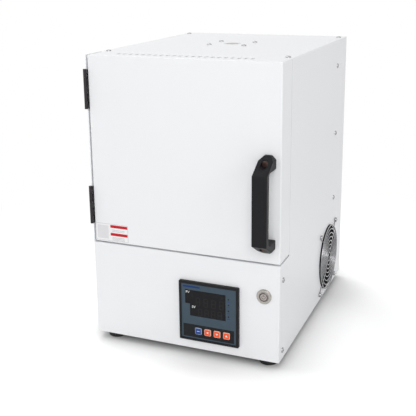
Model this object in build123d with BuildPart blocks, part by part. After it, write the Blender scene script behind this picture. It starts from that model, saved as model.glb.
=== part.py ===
from build123d import *
import os

os.makedirs("parts", exist_ok=True)

# A bench muffle furnace. +X is right, +Y is to the back, +Z is up, lengths are in millimetres.
# The origin is under the middle of the whole furnace, at the level of the bench.

# ---- Driving dimensions ----

# Cabinet of folded sheet steel
case_width = 304
case_depth = 390
case_height = 444
sheet = 1.2
fold = 2.0  # outside radius of a bend
ledge_height = 152  # from the underside of the case up to the ledge below the door
lip_width = 16  # inward flanges that take the cover screws
base_flange = 20
frame_flange = 18
shelf_flange = 14
side_return = 24
bulkhead_setback = 316  # from the front of the case back to the wall behind the muffle
edge_break = 0.5  # deburred cut edges
fan_relief = 1  # between the fan's body and the base flange

# Feet
foot_height = 12
foot_top_diameter = 32
foot_bottom_diameter = 28
foot_inset = 23
foot_recess_diameter = 13
foot_recess_depth = 7
foot_rim = 3  # straight part at the foot's top
foot_edge = 1.5
foot_screw_length = 11

# Cover screws
screw_diameter = 4
screw_head_diameter = 8
screw_head_height = 2.2
screw_length = 7
hole_clearance = 0.25  # on the radius, round every screw
thread_clearance = 0.1  # on the radius, round every panel thread
cover_screw_inset = 9  # from the cover's edge to the screw
top_rear_inset = 24  # the same, from the back of the top panel
front_screw_inset = 16
low_screw_height = 14  # above the underside of the case
high_screw_drop = 26  # below the ledge
bulkhead_screw_rise = 12  # lowest of three, above the ledge
bulkhead_screw_drop = 44  # highest of three, below the top
rear_screw_margin = 40  # from the top and the bottom of the rear panel

# Door
door_depth = 45
door_seam = 2.4  # between the door and the ledge
door_gap = 1.5  # between the door and the front frame
door_lip = 18
seat_clearance = 0.3
plug_depth = 20
plug_root_clearance = 3
plug_tip_clearance = 9
plug_air_gap = 13
plug_rim = 12  # how far the plug reaches behind the back plate all round
plug_edge = 3
vent_count = 22
vent_pitch = 10
vent_width = 4.6
vent_length = 12
vent_setback = 26
vent_row_shift = -4

# Hinges
hinge_length = 59
hinge_pitch = 180  # between the middles of the two hinges
hinge_rise = 3.5  # middle of the pair above the middle of the door
barrel_diameter = 5.2
pin_diameter = 3
pin_clearance = 0.05
pin_head_height = 1
leaf_thickness = 1.4
leaf_width = 22
leaf_clearance = 0.6
knuckle_count = 5
knuckle_gap = 0.3
rivet_diameter = 3.2
rivet_head_diameter = 5.6
rivet_pitch = 36
leaf_hole_setback = 14
leaf_corner = 3
hinge_screw_reach = 3  # past the door's sheet

# Handle
handle_length = 143
handle_width = 22
handle_standoff = 42
handle_bar = 11
handle_inner_corner = 5
handle_foot = 19.5
handle_arm = 6  # straight part of the outer side of each arm
handle_slope = 21
handle_corner = 6
handle_edge = 1.5
handle_edge_inset = 18.5  # from the door's free edge to the middle of the handle
handle_center_height = 244  # above the underside of the case
handle_screw_diameter = 6
handle_screw_head = 9.4
handle_screw_head_height = 5
handle_counterbore = 10.4
handle_screw_seat = 11
handle_screw_reach = 8
handle_socket = 5.64

# Heated chamber
chamber_width = 160
chamber_height = 120
chamber_depth = 200
muffle_wall = 50  # below and above the chamber
muffle_rear_wall = 50
mouth_depth = 25
mouth_neck = 30  # width of the neck round the mouth
heater_panel = 12
heater_groove = 9
heater_groove_depth = 8.2
coil_diameter = 7
coil_pitch = 21
coil_passes = 5
coil_end_margin = 8
hearth_thickness = 8
hearth_side_clearance = 3
hearth_corner = 4
hearth_edge = 1
side_board = 18
board_gap = 2.8  # between the side boards and the cabinet's sides
roof_space = 9.8  # between the top board and the top panel
tube_outer_diameter = 28
tube_bore = 22
tube_seat_height = 15
tube_clearance = 0.3
tube_setback = 215
collar_wall = 3
port_plate_width = 78
port_plate_depth = 74
port_plate_corner = 6
port_screw_x = 60
port_screw_y = 55
thermocouple_diameter = 6
thermocouple_reach = 25
thermocouple_drop = 25
thermocouple_head = 22
thermocouple_head_length = 14

# Door magnet
magnet_width = 12
magnet_height = 46
magnet_depth = 14
magnet_inset = 13
magnet_flange_side = 1.5
magnet_flange_end = 3
magnet_flange = 2

# Fan and finger guard
fan_size = 120
fan_thickness = 38
fan_bore = 115
fan_blade_clearance = 2
fan_hub_diameter = 46
fan_hub_wall = 1.6
fan_shaft_diameter = 5
fan_shaft_clearance = 0.06
fan_screw_pitch = 105
fan_screw_length = 14
fan_corner_radius = 7
fan_flange = 4
fan_motor_diameter = 40
fan_motor_length = 20
fan_strut = 6
fan_strut_depth = 5
fan_hub_gap = 1.5  # between the struts and the impeller
fan_motor_gap = 1
fan_hub_reach = 1  # how far the hub runs on past the fan's front flange
fan_hub_sleeve = 3
blade_count = 7
blade_thickness = 3.4  # across the blade in the plane of rotation
blade_twist = 38
blade_axial = 20
fan_setback = 290
fan_center_height = 63.6
guard_wire_diameter = 2.0
guard_ring_count = 8
guard_ring_pitch = 7
guard_inner_radius = 8
guard_ring_gap = 1.2  # how far the rings stand off the wires behind them

# Controller
bezel_size = 96
bezel_depth = 5.5
bezel_corner = 1.6
bezel_border = 3.8
bezel_edge = 1
face_recess = 0.8
face_thickness = 1.5
face_gap = 0.2
face_ledge_side = 3
face_ledge_end = 2
panel_cutout = 92
housing_size = 90.6
housing_depth = 78
housing_clearance = 0.15
collar_depth = 9
collar_border = 1  # beyond the bezel
collar_corner = 3
controller_inset = 109.5  # from the right side of the case
controller_height = 63
key_size = 10.4
key_corner = 1.6
key_pitch = 15.2
key_first_x = -16.6
key_row_z = -31
key_proud = 1.2
key_flange = 1.0
key_flange_width = 12.4
key_side_gap = 0.3
key_travel = 0.6
key_pocket = 6
key_edge = 0.4
key_stem = 4
key_stem_gap = 0.4
window_left = -37.9
window_right = 27.5
window_top = 34.6
window_bottom = -7.2
window_step_x = -30.1
window_step_z = 12.2
window_gap = 0.2

# Power switch
switch_bezel_diameter = 22.5
switch_bezel_height = 2.4
switch_bezel_edge = 1
switch_barrel_diameter = 19
switch_barrel_length = 24
switch_cap_diameter = 14
switch_cap_gap = 0.3
switch_cap_proud = 0.9
switch_cap_length = 6
switch_cap_edge = 0.5
switch_travel = 2
switch_nut_width = 23
switch_nut_height = 3
switch_inset = 23.5  # from the right side of the case
switch_height = 103

# Rear cover
rear_slot_length = 50
rear_slot_width = 4
rear_slot_pitch = 11
rear_slot_count = 8
rear_slot_column = 130
rear_slot_height = 330
gland_inset = 47  # from the left side of the case
gland_height = 40
gland_bore = 9
gland_thread = 16
gland_hex = 22
gland_hex_height = 6
gland_dome_diameter = 19
gland_dome_edge = 4
gland_reach = 20
gland_nut_height = 4
gland_inside = 10

# Electrics on the base
sink_inset = 122  # from the right side of the case
sink_width = 60
sink_length = 90
sink_base = 6
sink_height = 30
sink_fins = 8
sink_fin = 2
relay_width = 44
relay_length = 58
relay_height = 27
relay_corner = 2
terminal_inset = 82  # from the left side of the case
terminal_width = 22
terminal_length = 96
terminal_height = 18
terminal_poles = 8
terminal_rib = 2

# ---- Places worked out from the dimensions ----

guard_reach = 1.5 * guard_wire_diameter + guard_ring_gap
left_reach = barrel_diameter / 2
right_reach = max(guard_reach, guard_wire_diameter + screw_head_height)
middle_x = (left_reach - right_reach) / 2
left_x = middle_x - case_width / 2
right_x = middle_x + case_width / 2
front_y = (handle_standoff - gland_reach - case_depth) / 2
rear_y = front_y + case_depth
case_z = foot_height
top_z = case_z + case_height
ledge_z = case_z + ledge_height

inner_left = left_x + sheet
inner_right = right_x - sheet
door_left = inner_left + leaf_clearance + leaf_thickness
door_rear = front_y + door_depth
door_bottom = ledge_z + door_seam
door_middle_z = (door_bottom + top_z) / 2
frame_y = door_rear + door_gap
cover_z = top_z - sheet  # underside of the top panel
bulkhead_y = front_y + bulkhead_setback

chamber_middle_z = (ledge_z + top_z) / 2
chamber_floor = chamber_middle_z - chamber_height / 2
chamber_roof = chamber_middle_z + chamber_height / 2
chamber_back = frame_y + chamber_depth
muffle_half = inner_right - board_gap - side_board - middle_x
muffle_floor = chamber_floor - muffle_wall
muffle_roof = chamber_roof + muffle_wall
muffle_back = chamber_back + muffle_rear_wall
muffle_front = frame_y + sheet + seat_clearance
neck_half_width = chamber_width / 2 + mouth_neck
neck_half_height = chamber_height / 2 + mouth_neck
tube_y = front_y + tube_setback
thermocouple_z = chamber_roof - thermocouple_drop

hinge_x = left_x
hinge_y = front_y - barrel_diameter / 2 - seat_clearance
fan_y = front_y + fan_setback
fan_z = case_z + fan_center_height
handle_x = right_x - handle_edge_inset
handle_z = case_z + handle_center_height
bezel_x = right_x - controller_inset
bezel_z = case_z + controller_height
face_y = front_y - bezel_depth + face_recess
button_x = right_x - switch_inset
gland_x = left_x + gland_inset
terminal_x = left_x + terminal_inset
sink_x = right_x - sink_inset
button_z = case_z + switch_height
screw_hole = screw_diameter / 2 + hole_clearance
foot_places = [
    (x, y)
    for x in (left_x + foot_inset, right_x - foot_inset)
    for y in (front_y + foot_inset, rear_y - foot_inset)
]
front_screw_y = front_y + front_screw_inset
low_screw_z = case_z + low_screw_height
front_screw_z = ledge_z - high_screw_drop
bulkhead_screw_y = bulkhead_y + lip_width / 2
bulkhead_screw_low = ledge_z + bulkhead_screw_rise
bulkhead_screw_high = top_z - bulkhead_screw_drop
bulkhead_screw_zs = [
    bulkhead_screw_low,
    (bulkhead_screw_low + bulkhead_screw_high) / 2,
    bulkhead_screw_high,
]
side_screw_places = [
    (front_screw_y, low_screw_z),
    (front_screw_y, front_screw_z),
    *[(bulkhead_screw_y, z) for z in bulkhead_screw_zs],
]
rear_screw_zs = [case_z + rear_screw_margin, case_z + case_height / 2, top_z - rear_screw_margin]
rear_screw_places = [
    (x, z)
    for x in (left_x + cover_screw_inset, right_x - cover_screw_inset)
    for z in rear_screw_zs
]
top_screw_ys = [frame_y + cover_screw_inset, rear_y - top_rear_inset]
top_screw_places = [
    (x, y)
    for x in (left_x + cover_screw_inset, right_x - cover_screw_inset)
    for y in top_screw_ys
]
fan_screw_places = [
    (fan_y + dy, fan_z + dz)
    for dy in (-fan_screw_pitch / 2, fan_screw_pitch / 2)
    for dz in (-fan_screw_pitch / 2, fan_screw_pitch / 2)
]
port_screw_places = [
    (middle_x + dx, tube_y + dy)
    for dx in (-port_screw_x / 2, port_screw_x / 2)
    for dy in (-port_screw_y / 2, port_screw_y / 2)
]


# ---- Helpers ----


def across(y):
    # Upright plane facing the front, drawn in X and Z.
    return Plane.XZ.offset(-y)


def along(x):
    # Upright plane facing right, drawn in Y and Z.
    return Plane.YZ.offset(x)


def level(z):
    return Plane.XY.offset(z)


def rectangle(left, low, right, high, mode=Mode.ADD):
    with Locations(((left + right) / 2, (low + high) / 2)):
        Rectangle(right - left, high - low, mode=mode)


def finish(builder, name):
    builder.part.label = name
    export_step(builder.part, f"parts/{name}.step")


def domed_screw(diameter, length, head_diameter, head_height):
    # Stands on its head's seat, shank down.
    rim = head_height * 0.4
    head_radius = head_diameter / 2
    dome = head_height - rim
    dome_radius = (head_radius**2 + dome**2) / (2 * dome)
    halfway = head_height - dome_radius + (dome_radius**2 - head_radius**2 / 4) ** 0.5
    with BuildPart() as screw:
        with BuildSketch(Plane.XZ):
            with BuildLine():
                Polyline(
                    (0, head_height),
                    (0, -length),
                    (diameter / 2, -length),
                    (diameter / 2, 0),
                    (head_radius, 0),
                    (head_radius, rim),
                )
                ThreePointArc(
                    (head_radius, rim), (head_radius / 2, halfway), (0, head_height)
                )
            make_face()
        revolve(axis=Axis.Z)
    return screw.part


def hex_nut(width, height, bore):
    with BuildPart() as nut:
        with BuildSketch():
            RegularPolygon(width / 2, 6, major_radius=False)
            Circle(bore / 2, mode=Mode.SUBTRACT)
        extrude(amount=height)
    return nut.part


cover_screw = domed_screw(screw_diameter, screw_length, screw_head_diameter, screw_head_height)

# ---- Cabinet: base, sides, covers ----

with BuildPart() as base_pan:
    with BuildSketch(level(case_z)):
        rectangle(inner_left, front_y + sheet, inner_right, rear_y - 2 * sheet)
    extrude(amount=base_flange)
    with BuildSketch(level(case_z + sheet)):
        rectangle(inner_left + sheet, front_y, inner_right - sheet, rear_y - 3 * sheet)
    extrude(amount=base_flange, mode=Mode.SUBTRACT)
    # The flange gives way to the fan's body.
    with BuildSketch(along(inner_right)):
        rectangle(
            fan_y - fan_size / 2 - fan_relief,
            case_z + sheet,
            fan_y + fan_size / 2 + fan_relief,
            case_z + base_flange,
        )
    extrude(amount=-sheet, mode=Mode.SUBTRACT)
    with BuildSketch(level(case_z)):
        with Locations(*foot_places):
            Circle(screw_hole)
    extrude(amount=sheet, mode=Mode.SUBTRACT)
    with BuildSketch(along(inner_left)):
        with Locations((front_screw_y, low_screw_z)):
            Circle(screw_hole)
    extrude(amount=case_width, mode=Mode.SUBTRACT)
finish(base_pan, "base_pan")


def side_panel(outside_x, inward, door_side):
    # A cut and folded side: inward is +1 on the left and -1 on the right.
    # With door_side, the sheet runs on beside the door and carries its hinges.
    lip_start = frame_y + frame_flange + seat_clearance
    with BuildPart() as panel:
        with BuildSketch(along(outside_x)):
            rectangle(front_y + sheet, case_z, rear_y - sheet, ledge_z)
            rectangle(frame_y, ledge_z, rear_y - sheet, cover_z)
            if door_side:
                rectangle(front_y, ledge_z, frame_y, top_z)
        extrude(amount=inward * sheet)
        with BuildSketch(along(outside_x + inward * sheet)):
            rectangle(lip_start, cover_z - sheet, rear_y - sheet, cover_z)
            rectangle(rear_y - 2 * sheet, case_z, rear_y - sheet, cover_z)
        extrude(amount=inward * (lip_width - sheet))
        with BuildSketch(along(outside_x)):
            with Locations(*side_screw_places):
                Circle(screw_hole)
        extrude(amount=inward * sheet, mode=Mode.SUBTRACT)
        screw_x = outside_x + inward * cover_screw_inset
        with BuildSketch(level(cover_z - sheet)):
            with Locations((screw_x, rear_y - top_rear_inset)):
                Circle(screw_hole)
        extrude(amount=sheet, mode=Mode.SUBTRACT)
        with BuildSketch(across(rear_y - 2 * sheet)):
            with Locations(*[(screw_x, z) for z in rear_screw_zs]):
                Circle(screw_hole)
        extrude(amount=-sheet, mode=Mode.SUBTRACT)
    return panel


leaf_hole_y = front_y + leaf_hole_setback
hinge_middle_z = door_middle_z + hinge_rise
hinge_zs = [hinge_middle_z - hinge_pitch / 2, hinge_middle_z + hinge_pitch / 2]
rivet_places = [
    (leaf_hole_y, z + side * rivet_pitch / 2) for z in hinge_zs for side in (-1, 1)
]

with BuildPart() as left_side_panel:
    add(side_panel(left_x, 1, True).part)
    with BuildSketch(along(left_x)):
        with Locations(*rivet_places):
            Circle(rivet_diameter / 2 + hole_clearance)
    extrude(amount=sheet, mode=Mode.SUBTRACT)
    fillet(
        left_side_panel.edges().filter_by(Axis.Z).group_by(Axis.Y)[0],
        radius=edge_break,
    )
finish(left_side_panel, "left_side_panel")

with BuildPart() as right_side_panel:
    add(side_panel(right_x, -1, False).part)
    with BuildSketch(along(right_x)):
        with Locations((fan_y, fan_z)):
            Circle(fan_bore / 2)
        with Locations(*fan_screw_places):
            Circle(screw_hole)
    extrude(amount=-sheet, mode=Mode.SUBTRACT)
finish(right_side_panel, "right_side_panel")

with BuildPart() as top_panel:
    with BuildSketch(level(cover_z)):
        rectangle(left_x, frame_y, right_x, rear_y)
    extrude(amount=sheet)
    fillet(top_panel.edges().group_by(Axis.Z)[-1], radius=edge_break)
    with BuildSketch(level(cover_z)):
        with Locations((middle_x, tube_y)):
            Circle(tube_outer_diameter / 2 + tube_clearance)
        with Locations(*top_screw_places, *port_screw_places):
            Circle(screw_hole)
    extrude(amount=sheet, mode=Mode.SUBTRACT)
finish(top_panel, "top_panel")

with BuildPart() as rear_panel:
    with BuildSketch(across(rear_y)):
        rectangle(left_x, case_z, right_x, cover_z)
    extrude(amount=sheet)
    fillet(rear_panel.edges().group_by(Axis.Y)[-1], radius=edge_break)
    with BuildSketch(across(rear_y)):
        with Locations(*rear_screw_places):
            Circle(screw_hole)
        with Locations((gland_x, case_z + gland_height)):
            Circle(gland_thread / 2 + thread_clearance)
        with Locations((middle_x, case_z + rear_slot_height)):
            with GridLocations(rear_slot_column, rear_slot_pitch, 2, rear_slot_count):
                SlotOverall(rear_slot_length, rear_slot_width)
    extrude(amount=sheet, mode=Mode.SUBTRACT)
finish(rear_panel, "rear_panel")

with BuildPart() as lower_front_panel:
    with BuildSketch(across(front_y)):
        rectangle(left_x, case_z, right_x, ledge_z)
    extrude(amount=-sheet)
    with BuildSketch(across(front_y)):
        rectangle(inner_left, ledge_z - fold, inner_right, ledge_z)
        for x in (inner_left, inner_right - sheet):
            rectangle(x, case_z + base_flange + seat_clearance, x + sheet, ledge_z)
    extrude(amount=-side_return)
    with BuildSketch(across(front_y + sheet)):
        rectangle(inner_left, ledge_z - sheet, inner_right, ledge_z)
    extrude(amount=-(frame_y - front_y - sheet))
    with BuildSketch(across(front_y + sheet)):
        rectangle(inner_left + sheet, ledge_z - fold, inner_right - sheet, ledge_z - sheet)
    extrude(amount=-side_return, mode=Mode.SUBTRACT)
    front_rim = lower_front_panel.faces().sort_by(Axis.Y)[0].edges()
    fillet(front_rim.sort_by(Axis.Z)[-1], radius=sheet * 0.9)
    fillet(
        lower_front_panel.faces().sort_by(Axis.Y)[0].edges().filter_by(Axis.Z),
        radius=edge_break,
    )
    with BuildSketch(across(front_y)):
        with Locations((bezel_x, bezel_z)):
            Rectangle(panel_cutout, panel_cutout)
        with Locations((button_x, button_z)):
            Circle(switch_barrel_diameter / 2 + thread_clearance)
    extrude(amount=-sheet, mode=Mode.SUBTRACT)
    with BuildSketch(along(inner_left)):
        with Locations((front_screw_y, front_screw_z)):
            Circle(screw_hole)
    extrude(amount=case_width, mode=Mode.SUBTRACT)
finish(lower_front_panel, "lower_front_panel")

with BuildPart() as divider_shelf:
    with BuildSketch(level(ledge_z - shelf_flange)):
        rectangle(inner_left, frame_y, inner_right, bulkhead_y + lip_width)
    extrude(amount=shelf_flange)
    with BuildSketch(level(ledge_z - sheet)):
        rectangle(
            inner_left + sheet,
            frame_y + sheet,
            inner_right - sheet,
            bulkhead_y + lip_width - sheet,
        )
    extrude(amount=-shelf_flange, mode=Mode.SUBTRACT)
finish(divider_shelf, "divider_shelf")

magnet_x = right_x - magnet_inset
with BuildPart() as front_frame:
    with BuildSketch(across(frame_y)):
        rectangle(inner_left, ledge_z, inner_right, cover_z)
    extrude(amount=-frame_flange)
    with BuildSketch(across(frame_y + sheet)):
        rectangle(
            inner_left + sheet, ledge_z + sheet, inner_right - sheet, cover_z - sheet
        )
    extrude(amount=-frame_flange, mode=Mode.SUBTRACT)
    with BuildSketch(across(frame_y)):
        with Locations((middle_x, chamber_middle_z)):
            Rectangle(
                2 * (neck_half_width + seat_clearance),
                2 * (neck_half_height + seat_clearance),
            )
        with Locations((magnet_x, chamber_middle_z)):
            Rectangle(magnet_width, magnet_height)
    extrude(amount=-sheet, mode=Mode.SUBTRACT)
    with BuildSketch(level(cover_z - sheet)):
        with Locations(*[place for place in top_screw_places if place[1] < bulkhead_y]):
            Circle(screw_hole)
    extrude(amount=sheet, mode=Mode.SUBTRACT)
finish(front_frame, "front_frame")

with BuildPart() as rear_bulkhead:
    with BuildSketch(across(bulkhead_y)):
        rectangle(inner_left, ledge_z, inner_right, cover_z - sheet)
    extrude(amount=-lip_width)
    with BuildSketch(across(bulkhead_y + sheet)):
        rectangle(
            inner_left + sheet,
            ledge_z + sheet,
            inner_right - sheet,
            cover_z - 2 * sheet,
        )
    extrude(amount=-lip_width, mode=Mode.SUBTRACT)
    with BuildSketch(across(bulkhead_y)):
        with Locations((middle_x, thermocouple_z)):
            Circle(thermocouple_diameter / 2 + tube_clearance)
    extrude(amount=-sheet, mode=Mode.SUBTRACT)
    with BuildSketch(along(inner_left)):
        with Locations(*[(bulkhead_screw_y, z) for z in bulkhead_screw_zs]):
            Circle(screw_hole)
    extrude(amount=case_width, mode=Mode.SUBTRACT)
finish(rear_bulkhead, "rear_bulkhead")

# ---- Heated chamber ----

with BuildPart() as muffle:
    with BuildSketch(across(muffle_front)):
        rectangle(
            middle_x - muffle_half, muffle_floor, middle_x + muffle_half, muffle_roof
        )
    extrude(amount=-(muffle_back - muffle_front))
    with BuildSketch(across(frame_y)):
        with Locations((middle_x, chamber_middle_z)):
            Rectangle(2 * neck_half_width, 2 * neck_half_height)
    extrude(amount=-mouth_depth)
    with BuildSketch(across(frame_y)):
        with Locations((middle_x, chamber_middle_z)):
            Rectangle(chamber_width, chamber_height)
    extrude(amount=-chamber_depth, mode=Mode.SUBTRACT)
    # Behind the mouth the cavity is wider, for the heater panels.
    with BuildSketch(across(frame_y + mouth_depth)):
        with Locations((middle_x, chamber_middle_z)):
            Rectangle(chamber_width + 2 * heater_panel, chamber_height)
    extrude(amount=-(chamber_depth - mouth_depth), mode=Mode.SUBTRACT)
    with BuildSketch(level(chamber_roof)):
        with Locations((middle_x, tube_y)):
            Circle(tube_bore / 2)
    extrude(amount=muffle_wall, mode=Mode.SUBTRACT)
    with BuildSketch(level(chamber_roof + tube_seat_height)):
        with Locations((middle_x, tube_y)):
            Circle(tube_outer_diameter / 2 + tube_clearance)
    extrude(amount=muffle_wall, mode=Mode.SUBTRACT)
    with BuildSketch(across(chamber_back)):
        with Locations((middle_x, thermocouple_z)):
            Circle(thermocouple_diameter / 2 + tube_clearance)
    extrude(amount=-muffle_rear_wall, mode=Mode.SUBTRACT)
finish(muffle, "muffle")

# The coil runs to and fro in one groove: straight passes joined by half turns.
coil_front = frame_y + mouth_depth + coil_end_margin + coil_pitch / 2 + heater_groove / 2
coil_back = chamber_back - coil_end_margin - coil_pitch / 2 - heater_groove / 2
coil_low = chamber_middle_z - coil_pitch * (coil_passes - 1) / 2


def coil_run():
    for row in range(coil_passes):
        z = coil_low + row * coil_pitch
        Line((coil_front, z), (coil_back, z))
        if row < coil_passes - 1:
            turn_y = coil_back if row % 2 == 0 else coil_front
            bulge = coil_pitch / 2 if row % 2 == 0 else -coil_pitch / 2
            ThreePointArc(
                (turn_y, z),
                (turn_y + bulge, z + coil_pitch / 2),
                (turn_y, z + coil_pitch),
            )


def heater_pair(side, name):
    # side is -1 on the left of the chamber and +1 on the right.
    face_x = middle_x + side * chamber_width / 2
    coil_x = face_x + side * (heater_groove_depth - seat_clearance - coil_diameter / 2)
    with BuildPart() as panel:
        with BuildSketch(along(face_x)):
            rectangle(
                frame_y + mouth_depth,
                chamber_floor,
                chamber_back,
                chamber_roof - seat_clearance,
            )
        extrude(amount=side * heater_panel)
        with BuildSketch(along(face_x)):
            with BuildLine() as run:
                coil_run()
            trace(run.line, line_width=heater_groove)
        extrude(amount=side * heater_groove_depth, mode=Mode.SUBTRACT)
    finish(panel, f"heater_panel_{name}")
    with BuildPart() as coil:
        with BuildLine(along(coil_x)) as path:
            coil_run()
        start = Vector(coil_x, coil_front, coil_low)
        with BuildSketch(Plane(origin=start, z_dir=(0, 1, 0))):
            Circle(coil_diameter / 2)
        sweep(path=path.line)
    finish(coil, f"heating_coil_{name}")


heater_pair(-1, "left")
heater_pair(1, "right")

with BuildPart() as hearth_plate:
    with BuildSketch(level(chamber_floor)):
        rectangle(
            middle_x - chamber_width / 2 + hearth_side_clearance,
            frame_y + mouth_depth,
            middle_x + chamber_width / 2 - hearth_side_clearance,
            chamber_back - hearth_side_clearance,
        )
    extrude(amount=hearth_thickness)
    fillet(hearth_plate.edges().filter_by(Axis.Z), radius=hearth_corner)
    chamfer(hearth_plate.faces().sort_by(Axis.Z)[-1].edges(), length=hearth_edge)
finish(hearth_plate, "hearth_plate")

board_top = cover_z - roof_space
board_front = frame_y + frame_flange
with BuildPart() as insulation_bottom:
    with BuildSketch(level(ledge_z + sheet)):
        rectangle(
            middle_x - muffle_half, board_front, middle_x + muffle_half, muffle_back
        )
    extrude(amount=muffle_floor - ledge_z - sheet)
finish(insulation_bottom, "insulation_bottom")

with BuildPart() as insulation_top:
    with BuildSketch(level(muffle_roof)):
        rectangle(
            middle_x - muffle_half, board_front, middle_x + muffle_half, muffle_back
        )
        with Locations((middle_x, tube_y)):
            Circle(tube_outer_diameter / 2 + tube_clearance, mode=Mode.SUBTRACT)
    extrude(amount=board_top - muffle_roof)
finish(insulation_top, "insulation_top")


with BuildPart() as insulation_sides:
    for side in (-1, 1):
        with BuildSketch(along(middle_x + side * muffle_half)):
            rectangle(board_front, ledge_z, muffle_back, board_top)
        extrude(amount=side * side_board)
finish(insulation_sides, "insulation_sides")

with BuildPart() as insulation_rear:
    with BuildSketch(across(muffle_back)):
        rectangle(
            middle_x - muffle_half - side_board,
            ledge_z,
            middle_x + muffle_half + side_board,
            board_top,
        )
        with Locations((middle_x, thermocouple_z)):
            Circle(thermocouple_diameter / 2 + tube_clearance, mode=Mode.SUBTRACT)
    extrude(amount=-(bulkhead_y - muffle_back))
finish(insulation_rear, "insulation_rear")

with BuildPart() as thermocouple:
    tip_y = chamber_back - thermocouple_reach
    with BuildSketch(across(tip_y)):
        with Locations((middle_x, thermocouple_z)):
            Circle(thermocouple_diameter / 2)
    extrude(amount=-(bulkhead_y + sheet - tip_y))
    with BuildSketch(across(bulkhead_y + sheet)):
        with Locations((middle_x, thermocouple_z)):
            Circle(thermocouple_head / 2)
    extrude(amount=-thermocouple_head_length)
    fillet(thermocouple.edges().group_by(Axis.Y)[0], radius=thermocouple_diameter / 3)
finish(thermocouple, "thermocouple")

with BuildPart() as exhaust_tube:
    with BuildSketch(level(chamber_roof + tube_seat_height)):
        with Locations((middle_x, tube_y)):
            Circle(tube_outer_diameter / 2)
            Circle(tube_bore / 2, mode=Mode.SUBTRACT)
    extrude(amount=top_z - chamber_roof - tube_seat_height)
finish(exhaust_tube, "exhaust_tube")

with BuildPart() as exhaust_flange:
    with BuildSketch(level(cover_z)):
        with Locations((middle_x, tube_y)):
            RectangleRounded(port_plate_width, port_plate_depth, port_plate_corner)
            Circle(tube_outer_diameter / 2 + tube_clearance, mode=Mode.SUBTRACT)
        with Locations(*port_screw_places):
            Circle(screw_hole, mode=Mode.SUBTRACT)
    extrude(amount=-sheet)
    with BuildSketch(level(cover_z - sheet)):
        with Locations((middle_x, tube_y)):
            Circle(tube_outer_diameter / 2 + tube_clearance + collar_wall)
            Circle(tube_outer_diameter / 2 + tube_clearance, mode=Mode.SUBTRACT)
    extrude(amount=-(roof_space - sheet - seat_clearance))
finish(exhaust_flange, "exhaust_flange")

with BuildPart() as door_magnet:
    with BuildSketch(across(door_rear + seat_clearance)):
        with Locations((magnet_x, chamber_middle_z)):
            Rectangle(magnet_width - 2 * seat_clearance, magnet_height - 2 * seat_clearance)
    extrude(amount=-magnet_depth)
    with BuildSketch(across(frame_y + sheet)):
        with Locations((magnet_x, chamber_middle_z)):
            Rectangle(
                magnet_width + 2 * magnet_flange_side,
                magnet_height + 2 * magnet_flange_end,
            )
    extrude(amount=-magnet_flange)
finish(door_magnet, "door_magnet")

# ---- Feet ----

with BuildPart() as foot:
    with BuildSketch(Plane.XZ):
        with BuildLine():
            Polyline(
                (foot_recess_diameter / 2, 0),
                (foot_bottom_diameter / 2, 0),
                (foot_top_diameter / 2, foot_height - foot_rim),
                (foot_top_diameter / 2, foot_height),
                (screw_hole, foot_height),
                (screw_hole, foot_recess_depth),
                (foot_recess_diameter / 2, foot_recess_depth),
                close=True,
            )
        make_face()
    revolve(axis=Axis.Z)
    fillet(foot.edges().group_by(Axis.Z)[0].sort_by(SortBy.LENGTH)[-1], radius=foot_edge)

with BuildPart() as rubber_feet:
    with Locations(*foot_places):
        add(foot.part)
finish(rubber_feet, "rubber_feet")

foot_screw = domed_screw(
    screw_diameter, foot_screw_length, screw_head_diameter, screw_head_height
)
with BuildPart() as foot_screws:
    with Locations(*[Location((x, y, foot_recess_depth), (180, 0, 0)) for x, y in foot_places]):
        add(foot_screw)
finish(foot_screws, "foot_screws")

# ---- Cover screws ----

with BuildPart() as top_screws:
    with Locations(*[(x, y, top_z) for x, y in top_screw_places + port_screw_places]):
        add(cover_screw)
finish(top_screws, "top_screws")

with BuildPart() as side_screws:
    with Locations(*[Location((right_x, y, z), (0, 90, 0)) for y, z in side_screw_places]):
        add(cover_screw)
    with Locations(*[Location((left_x, y, z), (0, -90, 0)) for y, z in side_screw_places]):
        add(cover_screw)
finish(side_screws, "side_screws")

with BuildPart() as rear_screws:
    with Locations(*[Location((x, rear_y, z), (-90, 0, 0)) for x, z in rear_screw_places]):
        add(cover_screw)
finish(rear_screws, "rear_screws")

# ---- Door ----

plug_half_width = neck_half_width - seat_clearance
plug_half_height = neck_half_height - seat_clearance

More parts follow.
